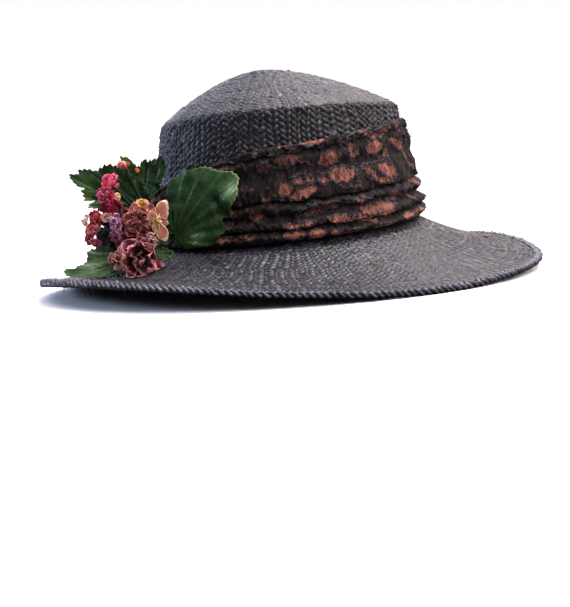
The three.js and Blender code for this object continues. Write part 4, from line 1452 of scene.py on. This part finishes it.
# head: its middle, where it faces, its radius, petals in each whorl, how far the outer whorl opens
# (0 flat, 90 closed) and the inner one closes, how ruffled and crushed it is, the heart's share of a
# petal, and its colours from heart to rim
HEADS = {
    "floret_red_upper": [
        {"at": (-124, -66, 86), "face": (0.0, -0.8, 0.6), "radius": 8.2, "whorls": (8, 7, 6, 4),
         "open": 12, "ruffle": 1.4, "crush": 0.8, "colours": ("#b01830", "#e04460", "#f48498")},
        {"at": (-128.5, -68, 79), "face": (-0.5, -0.8, 0.2), "radius": 7, "whorls": (7, 6, 4),
         "open": 10, "ruffle": 1.3, "crush": 0.9, "colours": ("#9c1a34", "#dc4660", "#f4a0aa")},
        {"at": (-125, -67, 71), "face": (0.0, -0.9, -0.3), "radius": 8.6, "whorls": (8, 7, 6, 4),
         "open": 5, "ruffle": 1.5, "crush": 0.9, "colours": ("#5c1020", "#9a2038", "#c84a5a")},
        {"at": (-119.5, -73, 76.5), "face": (0.6, -0.8, 0.1), "radius": 4, "whorls": (3, 2),
         "open": 20, "ruffle": 0.5, "crush": 0.8, "colours": ("#d88a4c", "#f2c48a", "#fbeacc")},
    ],
    "floret_red_lower": [
        {"at": (-136, -68, 62), "face": (-0.3, -0.8, 0.5), "radius": 7.4, "whorls": (8, 6, 5),
         "open": 8, "ruffle": 1.4, "crush": 0.9, "colours": ("#6e1424", "#b4283c", "#e8808a")},
        {"at": (-138.5, -70, 54.5), "face": (-0.3, -0.95, 0.1), "radius": 7.8, "whorls": (8, 7, 4),
         "open": 6, "ruffle": 1.4, "crush": 1.0, "colours": ("#d02c40", "#b83a44", "#ecaca4")},
        {"at": (-143, -70, 60), "face": (-0.8, -0.5, 0.3), "radius": 5, "whorls": (5, 4),
         "open": 25, "ruffle": 0.8, "crush": 1.0, "colours": ("#d86a78", "#f0b0ac", "#fbe4dc")},
        {"at": (-139.5, -70, 46.5), "face": (-0.2, -0.85, -0.5), "radius": 6.4, "whorls": (6, 5, 3),
         "open": 4, "ruffle": 1.2, "crush": 0.9, "colours": ("#4c101e", "#8c2440", "#ee90a4")},
        {"at": (-129, -72, 63), "face": (0.3, -0.9, 0.3), "radius": 4.6, "whorls": (4, 3),
         "open": 22, "ruffle": 0.8, "crush": 1.0, "colours": ("#a8505c", "#dc9c98", "#f6d8c8")},
    ],
    "floret_bud": [
        {"at": (-113.5, -60, 95.5), "face": (-0.2, -0.3, 0.95), "radius": 6.5, "whorls": (4, 3),
         "open": 62, "ruffle": 0.3, "crush": 0.2, "colours": ("#e07c6c", "#ee8478", "#f8d0b4")},
        {"at": (-106, -60, 92.5), "face": (0.5, -0.4, 0.6), "radius": 3.2, "whorls": (4, 3),
         "open": 55, "ruffle": 0.3, "crush": 0.2, "colours": ("#f4d8c0", "#ea8a60", "#d86a48")},
    ],
    "floret_purple": [
        {"at": (-121.5, -80, 58), "face": (-0.3, -0.9, 0.4), "radius": 6.4, "whorls": (7, 6, 4),
         "open": 5, "ruffle": 1.2, "crush": 0.9, "colours": ("#48203c", "#8e4a70", "#d49ab8")},
        {"at": (-121, -81, 49.5), "face": (-0.3, -0.9, -0.1), "radius": 6.4, "whorls": (7, 5, 4),
         "open": 5, "ruffle": 1.2, "crush": 0.9, "colours": ("#3c1a2e", "#7c4058", "#c08094")},
        # painted shade: these two near-black heads fill the shaded gap between the florets
        {"at": (-132, -66, 50), "face": (-0.4, -0.9, 0.1), "radius": 9.5, "whorls": (7, 6, 4),
         "open": 8, "ruffle": 1.4, "crush": 1.0, "colours": ("#08080e", "#161620", "#3a3040")},
        {"at": (-127, -66, 57), "face": (-0.2, -0.95, 0.1), "radius": 7.5, "whorls": (7, 5),
         "open": 8, "ruffle": 1.3, "crush": 1.0, "colours": ("#0c0a10", "#221820", "#4c3440")},
        {"at": (-115, -72, 46), "face": (-0.2, -0.95, -0.1), "radius": 10, "whorls": (7, 6, 5),
         "open": 8, "ruffle": 1.5, "crush": 1.0, "colours": ("#241016", "#5a2a32", "#a46468")},
        # painted shade: these two dark heads fill shaded gaps behind the florets
        {"at": (-112, -66, 54), "face": (-0.2, -0.95, 0), "radius": 10, "whorls": (7, 5),
         "open": 5, "ruffle": 1.5, "crush": 1.0, "colours": ("#180a0e", "#40201f", "#744448")},
        {"at": (-123, -64, 44), "face": (-0.2, -0.95, 0), "radius": 10, "whorls": (7, 5),
         "open": 5, "ruffle": 1.5, "crush": 1.0, "colours": ("#0c0a0c", "#241a20", "#54343c")},
        {"at": (-114, -74, 62), "face": (-0.2, -0.95, 0.2), "radius": 7, "whorls": (6, 5, 4),
         "open": 8, "ruffle": 1.3, "crush": 1.0, "colours": ("#200c12", "#4c2228", "#8a4c50")},
    ],
    "floret_mauve_upper": [
        {"at": (-102, -80, 66.5), "face": (-0.1, -0.75, 0.6), "radius": 9.4, "whorls": (8, 7, 5),
         "open": 10, "ruffle": 1.5, "crush": 0.8, "colours": ("#2e1214", "#ac5c50", "#eca898")},
        {"at": (-108, -81, 56), "face": (-0.25, -0.95, 0.1), "radius": 10, "whorls": (8, 7, 6, 4),
         "open": 6, "ruffle": 1.5, "crush": 0.9, "colours": ("#401a18", "#86443c", "#c47c74")},
        {"at": (-101, -83, 49.5), "face": (0.1, -0.97, 0.0), "radius": 8.8, "whorls": (8, 7, 5),
         "open": 8, "ruffle": 1.4, "crush": 0.9, "colours": ("#381618", "#904844", "#d08880")},
        {"at": (-101, -86, 71), "face": (0.0, -0.7, 0.7), "radius": 4.6, "whorls": (4, 3),
         "open": 15, "ruffle": 0.8, "crush": 0.9, "colours": ("#b8743c", "#dca45c", "#f4d09a")},
    ],
    "floret_mauve_low": [
        {"at": (-106, -95, 30.5), "face": (0.05, -0.92, 0.38), "radius": 19, "whorls": (7, 7, 5),
         "open": 20, "close": 34, "ruffle": 2.2, "crush": 0.5, "heart": 0.6,
         "colours": ("#140807", "#8a4238", "#e0949a")},
        {"at": (-120, -85, 33.5), "face": (-0.5, -0.8, 0.3), "radius": 8, "whorls": (5, 4),
         "open": 10, "ruffle": 1.5, "crush": 1.0, "colours": ("#6c3430", "#b47464", "#e8b8a4")},
    ],
    "floret_peach": [
        {"at": (-94.5, -89, 60), "face": (0.3, -0.9, 0.2), "radius": 6.6, "whorls": (6, 5, 3),
         "open": 25, "ruffle": 0.8, "crush": 0.9, "colours": ("#b85c34", "#dc9c6c", "#fae2c0")},
        {"at": (-95.5, -90, 46), "face": (0.2, -0.9, -0.3), "radius": 6.4, "whorls": (5, 4),
         "open": 14, "ruffle": 1.0, "crush": 0.9, "colours": ("#a8605c", "#e0a090", "#f8dccc")},
    ],
}
# the long petals of the peach floret: their way (0 is up, less is to the right), length, width, lift
LONG_PETALS = {
    "at": (-93, -91, 58.5), "face": (0.35, -0.92, 0.15),
    "petals": [
        (-28, 17, 9.5, 12), (-52, 13, 7.5, 2), (-96, 10, 6.5, 16), (-118, 9.5, 6, 8),
        (-146, 16.5, 9, 10), (-172, 9, 6, 20), (28, 8, 6, 24),
    ],
    "colours": ("#c46444", "#b67e7a", "#f4dcb0"),
}
# stamens: middle of the tuft, where they point, how many, how wide and tall it is, their colour
STAMENS = {
    "floret_mauve_low": ((-106, -95.5, 31), (0.05, -0.92, 0.38), 18, 4.4, 7, "#77783c"),
    "floret_peach": ((-92, -92, 59), (0.5, -0.8, 0.2), 12, 2.0, 6.0, "#f6d896"),
}
FLORET_SLOTS = {
    "floret_red_upper": "petal_red", "floret_red_lower": "petal_red", "floret_bud": "petal_peach",
    "floret_mauve_low": "petal_mauve", "floret_mauve_upper": "petal_mauve", "floret_purple": "petal_mauve",
    "floret_peach": "petal_peach",
}
PETAL_CLOTH = 0.3
STALK_RADIUS, BEAD_RADIUS = 0.16, 0.55
print(sum(len(heads) for heads in HEADS.values()), "heads in", len(HEADS), "florets")


# %% Make a petal
def petal_points(flat, length, width, lift, curl, ruffle, draw):
    """A petal that grows along x from its base and faces up. Also gives how far along each point
    is and how near to the rim."""
    along = (flat[:, 0] + 1) / 2
    side = flat[:, 1]
    outline = (0.25 + 0.75 * np.sin(np.minimum(along * 1.25, 1) * math.pi / 2)) * np.sqrt(
        1 - 0.75 * np.clip((along - 0.62) / 0.38, 0, 1) ** 2)
    # lifted at its base and curled towards its rim
    reach = along * (1 - 0.1 * side ** 2)
    angle = math.radians(lift) + curl * (along - 0.25)
    x = reach * np.cos(angle) * length
    z = reach * np.sin(angle) * length
    y = side * outline * width / 2
    # ruffled across, most of all at the rim
    phase = draw.uniform(0, FULL_TURN)
    frill = ruffle * along ** 2 * np.sin(side * draw.uniform(3.5, 5.5) + phase)
    frill += ruffle * 0.6 * along ** 3 * np.sin(side * 9 + draw.uniform(0, FULL_TURN))
    x = x - frill * np.sin(angle)
    z = z + frill * np.cos(angle) + 0.12 * width * side ** 2 * (1 - along)
    return np.stack([x, y, z], axis=1), along, np.maximum(along ** 3, np.abs(side) ** 5)


def petal(at, axes, way, size, ruffle, draw, inner=0.0):
    """One petal of a head. Its size is its length, width, lift, curl and height over the head's base.
    An inner petal keeps more of the heart's colour."""
    length, width, lift, curl, height = size
    piece = new_grid(PETAL_ALONG, PETAL_ACROSS)
    local, share, rim = petal_points(get_points(piece), length, width, lift, curl, ruffle, draw)
    share, rim = share * (1 - 0.5 * inner), rim * (1 - 0.35 * inner)
    c, s = math.cos(way), math.sin(way)
    x, y = local[:, 0] * c - local[:, 1] * s, local[:, 0] * s + local[:, 1] * c
    along_way, side_way, out = axes
    points = at + x[:, None] * along_way + y[:, None] * side_way + (local[:, 2] + height)[:, None] * out
    set_points(piece, points * MM)
    tone = np.full(len(share), draw.random())
    for label, values in (("petal_share", share), ("petal_rim", rim), ("petal_tone", tone)):
        mark_points(piece, label, values)
    return piece


# %% Make a head and its stamens
def blossom(head, draw):
    """The petals of one head, whorl by whorl from the outside."""
    petals = []
    at, *axes = own_frame(head["at"], head["face"])
    whorls, radius, crush = head["whorls"], head["radius"], head["crush"]
    for w, count in enumerate(whorls):
        inner = w / len(whorls)
        turn_start = draw.uniform(0, FULL_TURN)
        for i in range(count):
            # inner petals are shorter and more upright, and crushed ones are more uneven
            length = radius * (1 - 0.5 * inner) * draw.uniform(1.0 - 0.3 * crush, 1.12)
            width = min(FULL_TURN * length / count * draw.uniform(0.95, 1.3), length * 1.25)
            lift = head["open"] + (head.get("close", 80) - head["open"]) * inner ** 0.8
            lift += draw.normal(0, 6 + 14 * crush)
            curl = draw.uniform(-0.5 * crush, 0.7)
            way = turn_start + i * FULL_TURN / count + draw.normal(0, 0.1 + 0.25 * crush)
            shift = draw.normal(0, 0.12 * crush * radius, 2)
            foot = at + shift[0] * axes[0] + shift[1] * axes[1]
            size = (length, width, lift, curl, w * 0.6 - radius * 0.12)
            petals.append(petal(foot, axes, way, size, head["ruffle"], draw, inner))
    return petals


def long_petals(head, draw):
    """Single petals that stand out of a floret, each in its own way."""
    at, *axes = own_frame(head["at"], head["face"])
    return [
        petal(at, axes, math.radians(way), (length, width, lift, -0.3, 0.5), 0.25, draw)
        for way, length, width, lift in head["petals"]
    ]


def stamen_tuft(name, tuft, draw):
    """Fine stalks, each with a small round head."""
    at, face, count, spread, tall, colour = tuft
    at, *axes = own_frame(at, face)
    made = []
    for _ in range(count):
        lean = draw.normal(0, 0.35, 2)
        foot = at + draw.normal(0, spread / 4, 2) @ np.array(axes[:2])
        way = axes[2] + lean @ np.array(axes[:2])
        way /= np.linalg.norm(way)
        top = foot + way * tall * draw.uniform(0.6, 1.1)
        bpy.ops.object.select_all(action="DESELECT")
        bpy.ops.mesh.primitive_cylinder_add(vertices=4, radius=STALK_RADIUS, depth=1)
        stalk = bpy.context.object
        flat = get_points(stalk)
        across = np.cross(way, (0, 0, 1))
        across /= np.linalg.norm(across)
        turned = flat[:, :1] * across + flat[:, 1:2] * np.cross(way, across)
        set_points(stalk, (foot + turned + (flat[:, 2:] + 0.5) * (top - foot)) * MM)
        bpy.ops.mesh.primitive_ico_sphere_add(subdivisions=1, radius=BEAD_RADIUS * MM)
        bead = bpy.context.object
        set_points(bead, get_points(bead) + top * MM)
        made += [stalk, bead]
    pollen = new_material(f"flocked_stamen_{name}")
    shader = add_node(pollen.node_tree, "BsdfPrincipled", {"Base Color": linear(colour), "Roughness": 0.8})
    finish_material(pollen, shader)
    paint(made, pollen)
    return made


# %% [markdown]
# ### Petal cloth
# Fine matte cotton and rayon, starched, dyed and crushed by hand. The colour is darkest at the heart, where
# it is partly dye and partly painted shade deep in the blossom, thins out towards the rim and is blotched
# between, and light comes through the thin cloth a little.

# %% Material: petal cloth
def petal_material(name, colours, heart_share=0.4, thin=0.15, cover=1.0):
    """Cloth dyed from heart to rim, with painted shade at the heart. Thin cloth lets light through, and
    less cover makes it sheer.
    """
    material = new_material(name)
    tree = material.node_tree
    share = add_node(tree, "Attribute", attribute_name="petal_share").outputs["Fac"]
    edge = add_node(tree, "Attribute", attribute_name="petal_rim").outputs["Fac"]
    tone = add_node(tree, "Attribute", attribute_name="petal_tone").outputs["Fac"]
    place = add_node(tree, "TexCoord").outputs["Object"]
    crush = add_node(tree, "TexNoise", {"Vector": place, "Scale": 260.0, "Detail": 4.0}).outputs["Fac"]
    threads = add_node(tree, "TexNoise", {"Vector": place, "Scale": 1500.0, "Detail": 2.0}).outputs["Fac"]
    # dye from heart to rim, with painted shade at the heart and blotched borders
    wander = add_node(tree, "MapRange", {0: crush, 1: 0.3, 2: 0.7, 3: -0.24, 4: 0.24}).outputs[0]
    level = add_node(tree, "Math", {0: share, 1: wander}, operation="ADD").outputs[0]
    low = add_node(tree, "MapRange", {0: level, 1: heart_share - 0.25, 2: heart_share + 0.3}).outputs[0]
    level = add_node(tree, "Math", {0: edge, 1: wander}, operation="ADD").outputs[0]
    high = add_node(tree, "MapRange", {0: level, 1: 0.5, 2: 0.95}).outputs[0]
    heart, body, rim = (linear(colour) for colour in colours)
    colour = add_node(tree, "Mix", {0: low, 6: heart, 7: body}, data_type="RGBA")
    colour = add_node(tree, "Mix", {0: high, 6: colour.outputs[2], 7: rim}, data_type="RGBA")
    # every petal a little lighter or darker, and redder or bluer
    dim = add_node(tree, "MapRange", {0: tone, 3: 0.5, 4: 1.3}).outputs[0]
    lot = add_node(tree, "TexWhiteNoise", {"W": tone}, noise_dimensions="1D").outputs["Value"]
    lot = add_node(tree, "MapRange", {0: lot, 3: 0.475, 4: 0.52}).outputs[0]
    colour = add_node(tree, "HueSaturation", {
        "Hue": lot, "Saturation": 1.15, "Value": dim, "Color": colour.outputs[2],
    })
    held = add_node(tree, "MapRange", {0: high, 3: cover, 4: 1.0}).outputs[0]
    bump = add_node(tree, "Bump", {"Height": threads, "Strength": 0.35, "Distance": 0.1 * MM})
    shader = add_node(tree, "BsdfPrincipled", {
        "Base Color": colour.outputs[0], "Roughness": 0.7, "Normal": bump.outputs[0], "IOR": 1.45,
        "Sheen Weight": 0.25, "Sheen Roughness": 0.5, "Subsurface Weight": thin,
        "Subsurface Radius": (0.003, 0.0012, 0.001), "Subsurface Scale": 0.5, "Alpha": held,
    })
    return finish_material(material, shader)


# %% Make the florets
for name, heads in HEADS.items():
    draw = np.random.default_rng(sum(map(ord, name)))
    whole = []
    for number, head in enumerate(heads):
        petals = blossom(head, draw)
        label = f"crushed_cloth_{name}_{number + 1}"
        paint(petals, petal_material(label, head["colours"], head.get("heart", 0.4)))
        whole += petals
    if name == "floret_peach":
        petals = long_petals(LONG_PETALS, draw)
        sheer = petal_material("sheer_peach_cloth", LONG_PETALS["colours"], thin=0.4, cover=0.6)
        paint(petals, sheer)
        whole += petals
    floret = join(whole, name + "_petals")
    set_points(floret, keep_clear(get_points(floret) / MM, over_brim=1.0) * MM)
    thicken(floret, PETAL_CLOTH)
    if name in STAMENS:
        floret = join([floret] + stamen_tuft(name, STAMENS[name], draw), name + "_petals")
    edit(floret)
    bpy.ops.mesh.faces_shade_smooth()
    leave_edit()
    hand_over(floret, FLORET_SLOTS[name], name)

# %% [markdown]
# ## Wound stems
# Each leaf and floret has a wire stem with green tape wound round it, and all the
# stems meet in a knot that is tied to the band. A stem is a grid rolled into a
# tube, with a low step at each turn of the tape. The knot is a ball of the same
# tape, so it is a sphere with steps across it.

# %% Wind the stems
STEM_ROOT = np.array((-95, -66, 50))
STEM_RADIUS, KNOT_RADIUS = 1.25, 2.7
TAPE_PITCH, TAPE_STEP = 2.6, 0.22
STEM_SIDES, STEM_RING = 10, 0.55  # faces round a stem, and the length of one along it
SAG = 1.2


def wound_stem(end, draw):
    """A stem from the knot to its end, a little bent."""
    end = np.array(end, float)
    length = np.linalg.norm(end - STEM_ROOT)
    way = (end - STEM_ROOT) / length
    across = np.cross(way, (0, 0, 1))
    across /= np.linalg.norm(across)
    up = np.cross(across, way)
    stem = new_grid(int(length / STEM_RING), STEM_SIDES)
    flat = get_points(stem)
    along = (flat[:, 0] + 1) / 2
    roll = (flat[:, 1] + 1) * math.pi
    wound = (along * length / TAPE_PITCH + roll / FULL_TURN) % 1
    radius = STEM_RADIUS + TAPE_STEP * wound ** 2
    sag = np.sin(along * math.pi) * draw.uniform(-SAG, SAG, 2)[:, None]
    place = STEM_ROOT + along[:, None] * length * way
    place = place + (sag[0] + radius * np.cos(roll))[:, None] * across
    place = place + (sag[1] + radius * np.sin(roll))[:, None] * up
    set_points(stem, place * MM)
    mark_points(stem, "wound", wound)
    return stem


draw = np.random.default_rng(8)
ends = [leaf["at"] for leaf in LEAVES.values()]
ends += [heads[0]["at"] for heads in HEADS.values()]
stems = [wound_stem(end, draw) for end in ends]
bpy.ops.mesh.primitive_uv_sphere_add(segments=24, ring_count=16, radius=1)
knot = bpy.context.object
flat = get_points(knot)
wound = ((flat[:, 2] + 0.35 * flat[:, 0]) * 3.2) % 1
set_points(knot, (STEM_ROOT + flat * (KNOT_RADIUS + TAPE_STEP * wound ** 2)[:, None]) * MM)
mark_points(knot, "wound", wound)
stem_spray = join(stems + [knot], "wound_stems")
close_up(stem_spray, 0.01)
print(len(stems), "stems meet in a knot")

# %% [markdown]
# ### Floral tape
# Crepe paper tape with wax in it: dull dark green, slightly lighter along the edge of each turn.

# %% Material: floral tape
tape = new_material("waxed_crepe_tape")
tree = tape.node_tree
wound = add_node(tree, "Attribute", attribute_name="wound").outputs["Fac"]
place = add_node(tree, "TexCoord").outputs["Object"]
crepe = add_node(tree, "TexNoise", {"Vector": place, "Scale": 1100.0, "Detail": 3.0}).outputs["Fac"]
turn_edge = add_node(tree, "MapRange", {0: wound, 1: 0.6, 2: 1.0}).outputs[0]
green = add_node(tree, "Mix", {0: crepe, 6: linear("#0e190b"), 7: linear("#1c2c17")}, data_type="RGBA")
green = add_node(tree, "Mix", {0: turn_edge, 6: green.outputs[2], 7: linear("#2b3d23")}, data_type="RGBA")
bump = add_node(tree, "Bump", {"Height": crepe, "Strength": 0.4, "Distance": 0.15 * MM})
shader = add_node(tree, "BsdfPrincipled", {
    "Base Color": green.outputs[2], "Roughness": 0.7, "Normal": bump.outputs[0], "IOR": 1.45,
    "Specular IOR Level": 0.2,
})
finish_material(tape, shader)
dress(stem_spray, tape, "stem_wrap", "spray_stems")

# %% [markdown]
# ## Knot of straw
# Where two straws of the brim were joined, their ends are tied in one small dark
# knot on the front of the brim. It is a flattened ball with two straw ends.

# %% Tie the knot
KNOT_AT = (150, 25)
KNOT_LIFT = (0, 0, 0.9)
KNOT_SIZE = (1.7, 1.4, 1.0)

spot = BRIM_SPOTS[np.argmin(np.hypot(*(BRIM_SPOTS[:, :2] - KNOT_AT).T))] + KNOT_LIFT
bpy.ops.object.select_all(action="DESELECT")
bpy.ops.mesh.primitive_uv_sphere_add(segments=16, ring_count=10, radius=1)
tied = bpy.context.object
set_points(tied, (spot + get_points(tied) * KNOT_SIZE) * MM)
ends = [straw_end(spot, (0.8, 0.5, 0.05), 4), straw_end(spot, (-0.5, 0.9, 0.12), 3)]
straw_knot = join([tied] + ends, "straw_knot")
edit(straw_knot)
bpy.ops.mesh.faces_shade_smooth()
leave_edit()
dress(straw_knot, straw, "straw")

# %% [markdown]
# ## Finish
# The last cell prints that the scene is built.


print("scene built")
